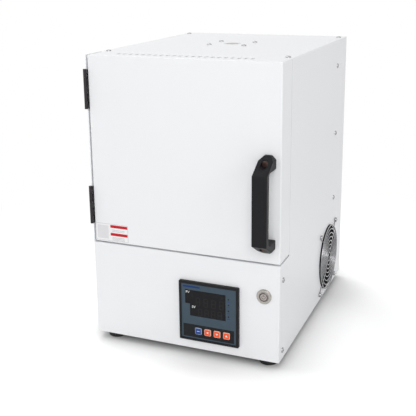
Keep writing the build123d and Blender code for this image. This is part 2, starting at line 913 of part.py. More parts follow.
with BuildPart() as door_shell:
    with BuildSketch(across(front_y)):
        rectangle(door_left, door_bottom, right_x, top_z)
    extrude(amount=-door_depth)
    fillet(door_shell.edges().filter_by(Axis.Y), radius=fold)
    fillet(door_shell.edges().group_by(Axis.Y)[0], radius=fold * 0.9)
    with BuildSketch(across(front_y + sheet)):
        with Locations(((door_left + right_x) / 2, door_middle_z)):
            RectangleRounded(
                right_x - door_left - 2 * sheet,
                top_z - door_bottom - 2 * sheet,
                fold - sheet,
            )
    extrude(amount=-(door_depth - 2 * sheet), mode=Mode.SUBTRACT)
    with BuildSketch(across(door_rear)):
        rectangle(
            door_left + door_lip,
            door_bottom + door_lip,
            right_x - door_lip,
            top_z - door_lip,
        )
    extrude(amount=sheet, mode=Mode.SUBTRACT)
    vent_row = Plane(origin=(middle_x + vent_row_shift, front_y + vent_setback, 0))
    with BuildSketch(vent_row.offset(door_bottom)):
        with GridLocations(vent_pitch, 1, vent_count, 1):
            SlotOverall(vent_length, vent_width, rotation=90)
    extrude(amount=sheet, mode=Mode.SUBTRACT)
    with BuildSketch(vent_row.offset(top_z)):
        with GridLocations(vent_pitch, 1, vent_count, 1):
            SlotOverall(vent_length, vent_width, rotation=90)
    extrude(amount=-sheet, mode=Mode.SUBTRACT)
    with BuildSketch(along(door_left)):
        with Locations(*rivet_places):
            Circle(rivet_diameter / 2 + hole_clearance)
    extrude(amount=sheet, mode=Mode.SUBTRACT)
    handle_screw_zs = [
        handle_z - handle_length / 2 + handle_foot / 2,
        handle_z + handle_length / 2 - handle_foot / 2,
    ]
    with BuildSketch(across(front_y)):
        with Locations(*[(handle_x, z) for z in handle_screw_zs]):
            Circle(handle_screw_diameter / 2 + hole_clearance)
    extrude(amount=-sheet, mode=Mode.SUBTRACT)
finish(door_shell, "door_shell")

with BuildPart() as door_back_plate:
    with BuildSketch(across(door_rear - sheet)):
        rectangle(
            door_left + sheet + seat_clearance,
            door_bottom + sheet + seat_clearance,
            right_x - sheet - seat_clearance,
            top_z - sheet - seat_clearance,
        )
        with Locations((middle_x, chamber_middle_z)):
            Rectangle(
                2 * (plug_half_width + seat_clearance),
                2 * (plug_half_height + seat_clearance),
                mode=Mode.SUBTRACT,
            )
    extrude(amount=sheet)
    fillet(door_back_plate.edges().filter_by(Axis.Y).group_by(Axis.X)[0], radius=fold)
    fillet(door_back_plate.edges().filter_by(Axis.Y).group_by(Axis.X)[-1], radius=fold)
finish(door_back_plate, "door_back_plate")

with BuildPart() as door_insulation:
    with BuildSketch(across(front_y + plug_air_gap)):
        with Locations((middle_x, chamber_middle_z)):
            Rectangle(
                2 * (plug_half_width + plug_rim),
                2 * (plug_half_height + plug_rim),
            )
    extrude(amount=-(door_depth - 2 * sheet - plug_air_gap))
    shoulder_y = frame_y - seat_clearance
    with BuildSketch(across(door_rear - 2 * sheet)):
        with Locations((middle_x, chamber_middle_z)):
            Rectangle(2 * plug_half_width, 2 * plug_half_height)
    extrude(amount=-(shoulder_y - door_rear + 2 * sheet))
    # The nose tapers, so that it clears the mouth as the door swings.
    with BuildSketch(across(shoulder_y)):
        with Locations((middle_x, chamber_middle_z)):
            Rectangle(
                chamber_width - 2 * plug_root_clearance,
                chamber_height - 2 * plug_root_clearance,
            )
    with BuildSketch(across(shoulder_y + plug_depth)):
        with Locations((middle_x, chamber_middle_z)):
            Rectangle(
                chamber_width - 2 * plug_tip_clearance,
                chamber_height - 2 * plug_tip_clearance,
            )
    loft()
    fillet(door_insulation.faces().sort_by(Axis.Y)[-1].edges(), radius=plug_edge)
finish(door_insulation, "door_insulation")

# ---- Hinges ----

knuckle_pitch = hinge_length / knuckle_count
knuckle_length = knuckle_pitch - knuckle_gap
leaf_rear_y = front_y + leaf_width


def hinge_leaf(middle_z, first_knuckle, leaf_x, through_x):
    # A leaf with every second knuckle.
    # leaf_x is its outside face, through_x is where it meets the panel.
    with BuildPart() as leaf:
        with BuildSketch(along(leaf_x)):
            rectangle(
                front_y,
                middle_z - hinge_length / 2,
                leaf_rear_y,
                middle_z + hinge_length / 2,
            )
            for index in range(first_knuckle, knuckle_count, 2):
                low = middle_z - hinge_length / 2 + index * knuckle_pitch + knuckle_gap / 2
                rectangle(hinge_y, low, front_y, low + knuckle_length)
        extrude(amount=through_x - leaf_x)
        fillet(leaf.edges().filter_by(Axis.X).group_by(Axis.Y)[-1], radius=leaf_corner)
        for index in range(first_knuckle, knuckle_count, 2):
            low = middle_z - hinge_length / 2 + index * knuckle_pitch + knuckle_gap / 2
            with BuildSketch(level(low)):
                with Locations((hinge_x, hinge_y)):
                    Circle(barrel_diameter / 2)
            extrude(amount=knuckle_length)
        with BuildSketch(level(middle_z - hinge_length / 2)):
            with Locations((hinge_x, hinge_y)):
                Circle(pin_diameter / 2 + pin_clearance)
        extrude(amount=hinge_length, mode=Mode.SUBTRACT)
        outside = 1 if leaf_x > through_x else -1
        hole_face = Plane(
            origin=(leaf_x, leaf_hole_y, middle_z), x_dir=(0, 1, 0), z_dir=(outside, 0, 0)
        )
        with Locations(hole_face):
            with Locations((0, -rivet_pitch / 2), (0, rivet_pitch / 2)):
                CounterSinkHole(
                    rivet_diameter / 2 + hole_clearance,
                    rivet_head_diameter / 2 + hole_clearance,
                    depth=leaf_thickness,
                    counter_sink_angle=90,
                )
    return leaf


with BuildPart() as hinge_fixed_leaves:
    for middle_z in hinge_zs:
        add(hinge_leaf(middle_z, 0, left_x - leaf_thickness, left_x).part)
finish(hinge_fixed_leaves, "hinge_fixed_leaves")

with BuildPart() as hinge_door_leaves:
    for middle_z in hinge_zs:
        add(hinge_leaf(middle_z, 1, door_left - leaf_thickness, door_left).part)
finish(hinge_door_leaves, "hinge_door_leaves")

with BuildPart() as hinge_pins:
    with BuildSketch(*[level(z - hinge_length / 2) for z in hinge_zs]):
        with Locations((hinge_x, hinge_y)):
            Circle(pin_diameter / 2)
    extrude(amount=hinge_length)
    with BuildSketch(*[level(z + hinge_length / 2) for z in hinge_zs]):
        with Locations((hinge_x, hinge_y)):
            Circle(barrel_diameter / 2)
    extrude(amount=pin_head_height)
finish(hinge_pins, "hinge_pins")


def flush_rivet(length):
    # Countersunk head level with z = 0, shank down.
    slope = (rivet_head_diameter - rivet_diameter) / 2
    with BuildPart() as rivet:
        with BuildSketch(Plane.XZ):
            with BuildLine():
                Polyline(
                    (0, 0),
                    (0, -length),
                    (rivet_diameter / 2, -length),
                    (rivet_diameter / 2, -slope),
                    (rivet_head_diameter / 2, 0),
                    close=True,
                )
            make_face()
        revolve(axis=Axis.Z)
    return rivet.part


with BuildPart() as hinge_rivets:
    head_x = left_x - leaf_thickness
    with Locations(*[Location((head_x, y, z), (0, -90, 0)) for y, z in rivet_places]):
        add(flush_rivet(leaf_thickness + sheet))
finish(hinge_rivets, "hinge_rivets")

with BuildPart() as hinge_door_screws:
    head_x = door_left - leaf_thickness
    with Locations(*[Location((head_x, y, z), (0, -90, 0)) for y, z in rivet_places]):
        add(flush_rivet(leaf_thickness + sheet + hinge_screw_reach))
finish(hinge_door_screws, "hinge_door_screws")

# ---- Handle ----

handle_top = handle_z + handle_length / 2
handle_bottom = handle_z - handle_length / 2
with BuildPart() as handle:
    with BuildSketch(along(handle_x - handle_width / 2)) as side_view:
        with BuildLine():
            Polyline(
                (front_y, handle_bottom),
                (front_y - handle_arm, handle_bottom),
                (front_y - handle_standoff, handle_bottom + handle_slope),
                (front_y - handle_standoff, handle_top - handle_slope),
                (front_y - handle_arm, handle_top),
                (front_y, handle_top),
                (front_y, handle_top - handle_foot),
                (front_y - handle_standoff + handle_bar, handle_top - handle_foot),
                (front_y - handle_standoff + handle_bar, handle_bottom + handle_foot),
                (front_y, handle_bottom + handle_foot),
                close=True,
            )
        make_face()
        inner_corners = side_view.vertices().group_by(Axis.X)[1]
        fillet(inner_corners, radius=handle_inner_corner)
    extrude(amount=handle_width)
    with BuildSketch(across(front_y)):
        with Locations((handle_x, handle_z)):
            Rectangle(handle_width, handle_length)
        chamfer(vertices(), length=handle_corner)
    extrude(amount=handle_standoff, mode=Mode.INTERSECT)
    rim = handle.edges().filter_by(lambda e: e.center().Y < front_y - handle_edge)
    fillet(rim, radius=handle_edge)
    with BuildSketch(across(front_y)):
        with Locations(*[(handle_x, z) for z in handle_screw_zs]):
            Circle(handle_screw_diameter / 2 + hole_clearance)
    extrude(amount=handle_standoff, mode=Mode.SUBTRACT)
    with BuildSketch(across(front_y - handle_screw_seat)):
        with Locations(*[(handle_x, z) for z in handle_screw_zs]):
            Circle(handle_counterbore / 2)
    extrude(amount=handle_standoff, mode=Mode.SUBTRACT)
finish(handle, "handle")

with BuildPart() as handle_screw:
    with BuildSketch():
        Circle(handle_screw_head / 2)
        RegularPolygon(handle_socket / 2, 6, mode=Mode.SUBTRACT)
    extrude(amount=handle_screw_head_height)
    with BuildSketch():
        Circle(handle_screw_head / 2)
    extrude(amount=handle_screw_head_height / 2)
    with BuildSketch():
        Circle(handle_screw_diameter / 2)
    extrude(amount=-(handle_screw_seat + handle_screw_reach))

with BuildPart() as handle_screws:
    seat_y = front_y - handle_screw_seat
    with Locations(*[Location((handle_x, seat_y, z), (90, 0, 0)) for z in handle_screw_zs]):
        add(handle_screw.part)
finish(handle_screws, "handle_screws")

# ---- Fan ----

fan_inner_x = inner_right - fan_thickness
fan_middle = (fan_y, fan_z)
fan_struts = [45, 135, 225, 315]
strut_reach = (fan_bore + fan_size) / 4  # into the middle of the duct's wall


def fan_plane(x, angle=0):
    # Upright plane across the fan's axis, turned about that axis.
    direction = Vector(0, 1, 0).rotate(Axis.X, angle)
    return Plane(origin=(x, fan_y, fan_z), x_dir=direction, z_dir=(1, 0, 0))


with BuildPart() as fan_frame:
    with BuildSketch(along(inner_right)):
        with Locations(fan_middle):
            RectangleRounded(fan_size, fan_size, fan_corner_radius)
            Circle(fan_bore / 2, mode=Mode.SUBTRACT)
    extrude(amount=-fan_thickness)
    # Between the two flanges the body narrows to a round duct.
    with BuildSketch(along(inner_right - fan_flange)):
        with Locations(fan_middle):
            RectangleRounded(fan_size, fan_size, fan_corner_radius)
            Circle(fan_size / 2, mode=Mode.SUBTRACT)
    extrude(amount=-(fan_thickness - 2 * fan_flange), mode=Mode.SUBTRACT)
    with BuildSketch(along(inner_right)):
        with Locations(*fan_screw_places):
            Circle(screw_hole)
    extrude(amount=-fan_thickness, mode=Mode.SUBTRACT)
    # The motor sits on four struts at the inner side.
    with BuildSketch(along(fan_inner_x)):
        with Locations(fan_middle):
            for angle in fan_struts:
                with Locations(Rotation(0, 0, angle)):
                    with Locations((strut_reach / 2, 0)):
                        Rectangle(strut_reach, fan_strut)
            Circle(fan_motor_diameter / 2)
    extrude(amount=fan_strut_depth)
    with BuildSketch(along(fan_inner_x)):
        with Locations(fan_middle):
            Circle(fan_motor_diameter / 2)
    extrude(amount=fan_motor_length)
    with BuildSketch(along(fan_inner_x)):
        with Locations(fan_middle):
            Circle(fan_shaft_diameter / 2)
    extrude(amount=fan_thickness - fan_flange)
finish(fan_frame, "fan_frame")

hub_back_x = fan_inner_x + fan_strut_depth + fan_hub_gap
hub_front_x = inner_right - fan_flange + fan_hub_reach
hub_bore_radius = fan_shaft_diameter / 2 + fan_shaft_clearance
blade_tip = fan_bore / 2 - fan_blade_clearance
hub_radius = fan_hub_diameter / 2
blade_middle_x = (hub_back_x + hub_front_x) / 2

with BuildPart() as fan_impeller:
    with BuildSketch(along(hub_back_x)):
        with Locations(fan_middle):
            Circle(hub_radius)
            Circle(hub_radius - fan_hub_wall, mode=Mode.SUBTRACT)
    extrude(amount=hub_front_x - hub_back_x)
    with BuildSketch(along(hub_front_x)):
        with Locations(fan_middle):
            Circle(hub_radius)
    extrude(amount=-fan_hub_wall * 1.5)
    with BuildSketch(along(hub_front_x)):
        with Locations(fan_middle):
            Circle(hub_bore_radius + fan_hub_sleeve)
    extrude(amount=-(hub_front_x - fan_inner_x - fan_motor_length - fan_motor_gap))
    # Each blade is a slice that turns as it goes from its front to its back edge.
    root = hub_radius - fan_hub_wall / 2
    for index in range(blade_count):
        angle = index * 360 / blade_count
        for step in (-1, 0, 1):
            x = blade_middle_x + step * blade_axial / 2
            with BuildSketch(fan_plane(x, angle + step * blade_twist / 2)):
                with Locations(((root + blade_tip) / 2, 0)):
                    Rectangle(blade_tip - root, blade_thickness)
        loft()
    with BuildSketch(along(fan_inner_x)):
        with Locations(fan_middle):
            Circle(hub_bore_radius)
    extrude(amount=fan_thickness, mode=Mode.SUBTRACT)
finish(fan_impeller, "fan_impeller")

# The finger guard: rings welded on four wires that end in eyes round the screws.
ring_x = right_x + guard_wire_diameter + guard_ring_gap
ring_outer_radius = guard_inner_radius + (guard_ring_count - 1) * guard_ring_pitch
eye_distance = fan_screw_pitch / 2 * 2**0.5
eye_hole = screw_diameter / 2 + hole_clearance
with BuildPart() as fan_guard:
    for ring in range(guard_ring_count):
        ring_radius = guard_inner_radius + ring * guard_ring_pitch
        with BuildSketch(Plane(origin=(ring_x, fan_y, fan_z), x_dir=(0, 1, 0), z_dir=(0, 0, 1))):
            with Locations((ring_radius, 0)):
                RegularPolygon(guard_wire_diameter / 2, 6)
        revolve(axis=Axis((ring_x, fan_y, fan_z), (1, 0, 0)))
    for angle in fan_struts:
        outward = fan_plane(right_x, angle).x_dir
        # Drawn from the side: across is the distance from the axis, up is the rise off the panel.
        arm_plane = Plane(
            origin=(right_x, fan_y, fan_z),
            x_dir=outward,
            z_dir=outward.cross(Vector(1, 0, 0)),
        )
        with BuildSketch(arm_plane):
            with BuildLine():
                Polyline(
                    (guard_inner_radius - guard_wire_diameter, guard_ring_gap),
                    (ring_outer_radius, guard_ring_gap),
                    (ring_outer_radius + guard_wire_diameter, 0),
                    (eye_distance - eye_hole - guard_wire_diameter / 2, 0),
                    (eye_distance - eye_hole - guard_wire_diameter / 2, guard_wire_diameter),
                    (ring_outer_radius + guard_wire_diameter, guard_wire_diameter),
                    (ring_outer_radius, guard_wire_diameter + guard_ring_gap),
                    (guard_inner_radius - guard_wire_diameter, guard_wire_diameter + guard_ring_gap),
                    close=True,
                )
            make_face()
        extrude(amount=guard_wire_diameter / 2, both=True)
        with BuildSketch(fan_plane(right_x, angle)):
            with Locations((eye_distance, 0)):
                Circle(eye_hole + guard_wire_diameter)
                Circle(eye_hole, mode=Mode.SUBTRACT)
        extrude(amount=guard_wire_diameter)
finish(fan_guard, "fan_guard")

fan_screw = domed_screw(
    screw_diameter, fan_screw_length, screw_head_diameter, screw_head_height
)
with BuildPart() as fan_screws:
    seat_x = right_x + guard_wire_diameter
    with Locations(*[Location((seat_x, y, z), (0, 90, 0)) for y, z in fan_screw_places]):
        add(fan_screw)
finish(fan_screws, "fan_screws")

# ---- Controller ----

bezel_front = front_y - bezel_depth
face_size = bezel_size - 2 * bezel_border
with BuildPart() as controller_case:
    with BuildSketch(across(front_y)):
        with Locations((bezel_x, bezel_z)):
            RectangleRounded(bezel_size, bezel_size, bezel_corner)
    extrude(amount=bezel_depth)
    fillet(controller_case.edges().group_by(Axis.Y)[0], radius=bezel_edge)
    with BuildSketch(across(front_y)):
        with Locations((bezel_x, bezel_z)):
            Rectangle(housing_size, housing_size)
    extrude(amount=-housing_depth)
    with BuildSketch(across(bezel_front)):
        with Locations((bezel_x, bezel_z)):
            Rectangle(face_size, face_size)
    extrude(amount=-(face_recess + face_thickness), mode=Mode.SUBTRACT)
    with BuildSketch(across(bezel_front)):
        with Locations((bezel_x, bezel_z)):
            Rectangle(face_size - 2 * face_ledge_side, face_size - 2 * face_ledge_end)
    extrude(amount=-(face_recess + face_thickness + key_pocket), mode=Mode.SUBTRACT)
finish(controller_case, "controller_case")

with BuildPart() as controller_clamp:
    with BuildSketch(across(front_y + sheet)):
        with Locations((bezel_x, bezel_z)):
            RectangleRounded(
                bezel_size + 2 * collar_border, bezel_size + 2 * collar_border, collar_corner
            )
            Rectangle(
                housing_size + 2 * housing_clearance,
                housing_size + 2 * housing_clearance,
                mode=Mode.SUBTRACT,
            )
    extrude(amount=-collar_depth)
finish(controller_clamp, "controller_clamp")

key_places = [
    (bezel_x + key_first_x + index * key_pitch, bezel_z + key_row_z) for index in range(4)
]
window_points = [
    (bezel_x + window_left, bezel_z + window_top),
    (bezel_x + window_right, bezel_z + window_top),
    (bezel_x + window_right, bezel_z + window_bottom),
    (bezel_x + window_step_x, bezel_z + window_bottom),
    (bezel_x + window_step_x, bezel_z + window_step_z),
    (bezel_x + window_left, bezel_z + window_step_z),
]

with BuildPart() as controller_face:
    with BuildSketch(across(face_y)):
        with Locations((bezel_x, bezel_z)):
            Rectangle(face_size - 2 * face_gap, face_size - 2 * face_gap)
        with BuildLine(mode=Mode.PRIVATE) as window_outline:
            Polyline(*window_points, close=True)
        make_face(window_outline.edges(), mode=Mode.SUBTRACT)
        with Locations(*key_places):
            RectangleRounded(
                key_size + 2 * key_side_gap,
                key_size + 2 * key_side_gap,
                key_corner + key_side_gap,
                mode=Mode.SUBTRACT,
            )
    extrude(amount=-face_thickness)
finish(controller_face, "controller_face")

with BuildPart() as display_lens:
    with BuildSketch(across(face_y)):
        with BuildLine():
            Polyline(*window_points, close=True)
        make_face()
        offset(amount=-window_gap, kind=Kind.INTERSECTION, mode=Mode.REPLACE)
    extrude(amount=-face_thickness)
finish(display_lens, "display_lens")

key_names = ["set", "left", "down", "up"]
key_seat = face_y + face_thickness + seat_clearance
for place, name in zip(key_places, key_names):
    with BuildPart() as key:
        with BuildSketch(across(key_seat)):
            with Locations(place):
                RectangleRounded(key_size, key_size, key_corner)
        extrude(amount=key_seat - face_y + key_proud)
        fillet(key.edges().group_by(Axis.Y)[0], radius=key_edge)
        with BuildSketch(across(key_seat)):
            with Locations(place):
                Rectangle(key_flange_width, key_flange_width)
        extrude(amount=-key_flange)
        with BuildSketch(across(key_seat + key_flange)):
            with Locations(place):
                Circle(key_stem / 2)
        stem = key_pocket - seat_clearance - key_flange - key_travel - key_stem_gap
        extrude(amount=-stem)
    finish(key, f"key_{name}")

# ---- Power switch ----

with BuildPart() as power_switch_body:
    with BuildSketch(across(front_y)):
        with Locations((button_x, button_z)):
            Circle(switch_bezel_diameter / 2)
    extrude(amount=switch_bezel_height)
    fillet(power_switch_body.edges().group_by(Axis.Y)[0], radius=switch_bezel_edge)
    with BuildSketch(across(front_y)):
        with Locations((button_x, button_z)):
            Circle(switch_barrel_diameter / 2)
    extrude(amount=-switch_barrel_length)
    with BuildSketch(across(front_y - switch_bezel_height)):
        with Locations((button_x, button_z)):
            Circle(switch_cap_diameter / 2 + switch_cap_gap)
    extrude(amount=-(switch_cap_length + switch_travel), mode=Mode.SUBTRACT)
finish(power_switch_body, "power_switch_body")

with BuildPart() as power_button:
    cap_front = front_y - switch_bezel_height - switch_cap_proud
    with BuildSketch(across(cap_front)):
        with Locations((button_x, button_z)):
            Circle(switch_cap_diameter / 2)
    extrude(amount=-switch_cap_length)
    fillet(power_button.edges().group_by(Axis.Y)[0], radius=switch_cap_edge)
finish(power_button, "power_button")

with BuildPart() as power_switch_nut:
    with Locations(Location((button_x, front_y + sheet, button_z), (-90, 0, 0))):
        add(
            hex_nut(
                switch_nut_width,
                switch_nut_height,
                switch_barrel_diameter + 2 * thread_clearance,
            )
        )
finish(power_switch_nut, "power_switch_nut")

# ---- Mains inlet at the rear ----

gland_place = (gland_x, case_z + gland_height)
with BuildPart() as cable_inlet:
    with BuildSketch(across(rear_y)):
        with Locations(gland_place):
            RegularPolygon(gland_hex / 2, 6, major_radius=False)
    extrude(amount=-gland_hex_height)
    with BuildSketch(across(rear_y + gland_hex_height)):
        with Locations(gland_place):
            Circle(gland_dome_diameter / 2)
    extrude(amount=-(gland_reach - gland_hex_height))
    fillet(cable_inlet.edges().group_by(Axis.Y)[-1], radius=gland_dome_edge)
    with BuildSketch(across(rear_y)):
        with Locations(gland_place):
            Circle(gland_thread / 2)
    extrude(amount=gland_inside)
    with BuildSketch(across(rear_y + gland_reach)):
        with Locations(gland_place):
            Circle(gland_bore / 2)
    extrude(amount=gland_reach + gland_inside, mode=Mode.SUBTRACT)
finish(cable_inlet, "cable_inlet")

with BuildPart() as inlet_nut:
    with Locations(Location((gland_place[0], rear_y - sheet, gland_place[1]), (90, 0, 0))):
        add(
            hex_nut(
                gland_hex,
                gland_nut_height,
                gland_thread + 2 * thread_clearance,
            )
        )
finish(inlet_nut, "inlet_nut")

# ---- Electrics on the base ----

with BuildPart() as heat_sink:
    with BuildSketch(across(fan_y - sink_length / 2)):
        with Locations((sink_x, case_z + sheet + sink_base / 2)):
            Rectangle(sink_width, sink_base)
        with Locations((sink_x, case_z + sheet + sink_height / 2)):
            fin_pitch = (sink_width - sink_fin) / (sink_fins - 1)
            with GridLocations(fin_pitch, 1, sink_fins, 1):
                Rectangle(sink_fin, sink_height)
    extrude(amount=-sink_length)
finish(heat_sink, "heat_sink")

with BuildPart() as relay:
    with BuildSketch(level(case_z + sheet + sink_height)):
        with Locations((sink_x, fan_y)):
            Rectangle(relay_width, relay_length)
    extrude(amount=relay_height)
    fillet(relay.edges().filter_by(Axis.Z), radius=relay_corner)
finish(relay, "relay")

with BuildPart() as terminal_block:
    with BuildSketch(level(case_z + sheet)):
        with Locations((terminal_x, fan_y)):
            Rectangle(terminal_width, terminal_length)
    extrude(amount=terminal_height / 2)
    with BuildSketch(level(case_z + sheet)):
        with Locations((terminal_x, fan_y)):
            rib_pitch = (terminal_length - terminal_rib) / terminal_poles
            with GridLocations(1, rib_pitch, 1, terminal_poles + 1):
                Rectangle(terminal_width, terminal_rib)
    extrude(amount=terminal_height)
finish(terminal_block, "terminal_block")
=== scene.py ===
import math
import bmesh
import bpy
from mathutils import Matrix, Vector


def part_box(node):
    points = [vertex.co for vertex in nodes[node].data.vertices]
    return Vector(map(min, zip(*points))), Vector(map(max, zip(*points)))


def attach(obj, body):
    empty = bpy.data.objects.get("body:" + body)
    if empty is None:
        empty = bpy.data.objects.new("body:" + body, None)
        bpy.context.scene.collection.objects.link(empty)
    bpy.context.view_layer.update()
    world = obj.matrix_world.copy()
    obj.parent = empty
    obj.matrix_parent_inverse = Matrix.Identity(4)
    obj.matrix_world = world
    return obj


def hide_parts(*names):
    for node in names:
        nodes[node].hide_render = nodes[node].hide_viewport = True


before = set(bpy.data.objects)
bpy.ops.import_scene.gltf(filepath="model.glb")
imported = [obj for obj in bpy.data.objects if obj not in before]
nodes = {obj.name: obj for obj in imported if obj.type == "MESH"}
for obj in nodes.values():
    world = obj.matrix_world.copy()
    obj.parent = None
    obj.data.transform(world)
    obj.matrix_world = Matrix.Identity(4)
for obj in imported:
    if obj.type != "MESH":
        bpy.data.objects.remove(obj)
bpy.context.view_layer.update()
print("frame loaded:", len(nodes), "nodes")

mm = 0.001
# centres are (x, z) on the front and (y, z) on the fan's side
furnace = {
    "frontY": -184 * mm, "faceY": -188.7 * mm, "fanCentre": (106 * mm, 75.6 * mm),
    "bezelCentre": (41.7 * mm, 75 * mm), "buttonCentre": (127.7 * mm, 115 * mm),
}

# ---- camera ----

cameraSettings = {
    "place": (0.4525427, -1.1862450, 0.5850085),
    "yaw": 0.389086, "pitch": 0.254287, "roll": -0.0106160,
    "sensor": 36, "lens": 67.578, "shiftY": -0.100962,
}


def makeCamera(settings):
    yaw, pitch, roll = settings["yaw"], settings["pitch"], settings["roll"]
    forward = Vector((-math.sin(yaw) * math.cos(pitch), math.cos(yaw) * math.cos(pitch), -math.sin(pitch)))
    right = Vector((math.cos(yaw), math.sin(yaw), 0))
    up = right.cross(forward)
    turnedRight = right * math.cos(roll) + up * math.sin(roll)
    turnedUp = up * math.cos(roll) - right * math.sin(roll)
    data = bpy.data.cameras.new("viewCamera")
    data.sensor_width = settings["sensor"]
    data.lens = settings["lens"]
    data.shift_y = settings["shiftY"]
    camera = bpy.data.objects.new("viewCamera", data)
    turn = Matrix((turnedRight, turnedUp, -forward)).transposed().to_4x4()
    camera.matrix_world = Matrix.Translation(settings["place"]) @ turn
    bpy.context.scene.collection.objects.link(camera)
    bpy.context.scene.camera = camera


makeCamera(cameraSettings)

# ---- shader maths ----


def plug(tree, socket, value):
    if isinstance(value, Wire):
        tree.links.new(value.socket, socket)
    elif isinstance(value, tuple) and len(value) == 3 and socket.type == "RGBA":
        socket.default_value = (*value, 1)
    else:
        socket.default_value = value


def addNode(tree, kind, settings, inputs):
    made = tree.nodes.new("ShaderNode" + kind)
    for key, value in settings.items():
        setattr(made, key, value)
    for key, value in inputs.items():
        plug(tree, made.inputs[key], value)
    return made


class Wire:
    # an output socket that takes part in sums
    def __init__(self, socket):
        self.socket = socket

    def maths(self, operation, *values):
        made = addNode(self.socket.id_data, "Math", {"operation": operation}, dict(enumerate(values)))
        return Wire(made.outputs[0])

    def __add__(self, other):
        return self.maths("ADD", self, other)

    def __radd__(self, other):
        return self.maths("ADD", other, self)

    def __sub__(self, other):
        return self.maths("SUBTRACT", self, other)

    def __rsub__(self, other):
        return self.maths("SUBTRACT", other, self)

    def __mul__(self, other):
        return self.maths("MULTIPLY", self, other)

    def __rmul__(self, other):
        return self.maths("MULTIPLY", other, self)

    def __truediv__(self, other):
        return self.maths("DIVIDE", self, other)

    def __rtruediv__(self, other):
        return self.maths("DIVIDE", other, self)

    def __abs__(self):
        return self.maths("ABSOLUTE", self)

    def above(self, level):
        return self.maths("GREATER_THAN", self, level)

    def below(self, level):
        return self.maths("LESS_THAN", self, level)

    def inside(self, low, high):
        return self.above(low) * self.below(high)

    def larger(self, other):
        return self.maths("MAXIMUM", self, other)

    def root(self):
        return self.maths("SQRT", self)

    def sine(self):
        return self.maths("SINE", self)

    def fraction(self):
        return self.maths("FRACT", self)


def distance(first, second, centre):
    across = first - centre[0]
    down = second - centre[1]
    return (across * across + down * down).root()


class Finish:
    # a material, its shader and the object coordinates that its patterns read
    sockets = {"colour": "Base Color", "roughness": "Roughness", "metallic": "Metallic", "normal": "Normal",
               "specular": "Specular IOR Level"}

    def __init__(self, name, **surface):
        self.material = bpy.data.materials.new(name)
        self.material.use_nodes = True
        self.tree = self.material.node_tree
        self.tree.nodes.clear()
        self.place = self.node("TexCoord", {}, {}, "Object")
        split = addNode(self.tree, "SeparateXYZ", {}, {0: self.place})
        self.x, self.y, self.z = (Wire(out) for out in split.outputs)
        self.shader = addNode(self.tree, "BsdfPrincipled", {}, {})
        self.output = addNode(self.tree, "OutputMaterial", {}, {0: Wire(self.shader.outputs[0])})
        self.set(**surface)

    def node(self, kind, settings, inputs, output=0):
        return Wire(addNode(self.tree, kind, settings, inputs).outputs[output])

    def set(self, **surface):
        for key, value in surface.items():
            plug(self.tree, self.shader.inputs[self.sockets[key]], value)

    def noise(self, scale, detail=3.0, roughness=0.5, stretch=None):
        where = self.place
        if stretch:
            where = self.node("Mapping", {}, {"Vector": self.place, "Scale": stretch})
        inputs = {"Vector": where, "Scale": scale, "Detail": detail, "Roughness": roughness}
        return self.node("TexNoise", {}, inputs)

    def cells(self, scale, output="Distance"):
        return self.node("TexVoronoi", {}, {"Vector": self.place, "Scale": scale}, output)

    def mix(self, factor, first, second):
        # a Mix node's colours are its inputs 6 and 7 and its output 2
        return self.node("Mix", {"data_type": "RGBA"}, {0: factor, 6: first, 7: second}, 2)

    def step(self, value, low, high):
        return self.node("MapRange", {"interpolation_type": "SMOOTHSTEP"},
                         {"Value": value, "From Min": low, "From Max": high})

    def bump(self, height, depth, strength):
        return self.node("Bump", {}, {"Height": height, "Distance": depth, "Strength": strength})


def shade(colour, amount, lift=0):
    return tuple(min(1, channel * amount + lift) for channel in colour)


# ---- finishes ----
# in these dictionaries a noise is (scale, detail, roughness), a range is the two ends of a step
# and a relief is (depth, strength)

whiteEnamel = {
    "colour": (0.845, 0.855, 0.872), "darker": 0.985, "dust": (0.70, 0.69, 0.67), "specular": 0.42,
    "peel": (620, 2, 0.55), "cloud": (9, 4, 0.6), "specks": 900, "speckSize": 0.06,
    "grime": (34, 5, 0.65), "grimeRange": (0.72, 1.0), "lowRange": (0.05, 0.0), "lowGrime": 0.35,
    "grimeMix": 0.18, "speckMix": 0.035,
    "roughness": 0.29, "cloudRough": 0.08, "peelRough": 0.06, "cloudRelief": 0.3, "relief": (0.00005, 0.5),
}


def enamelFinish(name):
    look = whiteEnamel
    made = Finish(name, specular=look["specular"])
    peel = made.noise(*look["peel"])
    cloud = made.noise(*look["cloud"])
    speck = made.cells(look["specks"]).below(look["speckSize"])
    low = made.step(made.z, *look["lowRange"]) * look["lowGrime"]  # more grime near the feet
    grime = made.step(made.noise(*look["grime"]) + low, *look["grimeRange"])
    base = made.mix(cloud, shade(look["colour"], look["darker"]), look["colour"])
    base = made.mix(grime * look["grimeMix"] + speck * look["speckMix"], base, look["dust"])
    made.set(colour=base, roughness=cloud * look["cloudRough"] + peel * look["peelRough"] + look["roughness"],
             normal=made.bump(peel + cloud * look["cloudRelief"], *look["relief"]))
    return made


sheetSteel = {
    "light": (0.60, 0.61, 0.62), "dark": (0.44, 0.45, 0.47), "stained": (0.36, 0.34, 0.31), "metallic": 0.95,
    "spangles": 95, "cloud": (30, 4), "stain": (14, 6, 0.7), "stainRange": (0.56, 0.75),
    "spangleShare": 0.6, "cloudShare": 0.4, "stainMix": 0.3,
    "roughness": 0.28, "spangleRough": 0.14, "cloudRough": 0.12, "stainRough": 0.1,
    "spangleRelief": 0.4, "relief": (0.00004, 0.4),
}


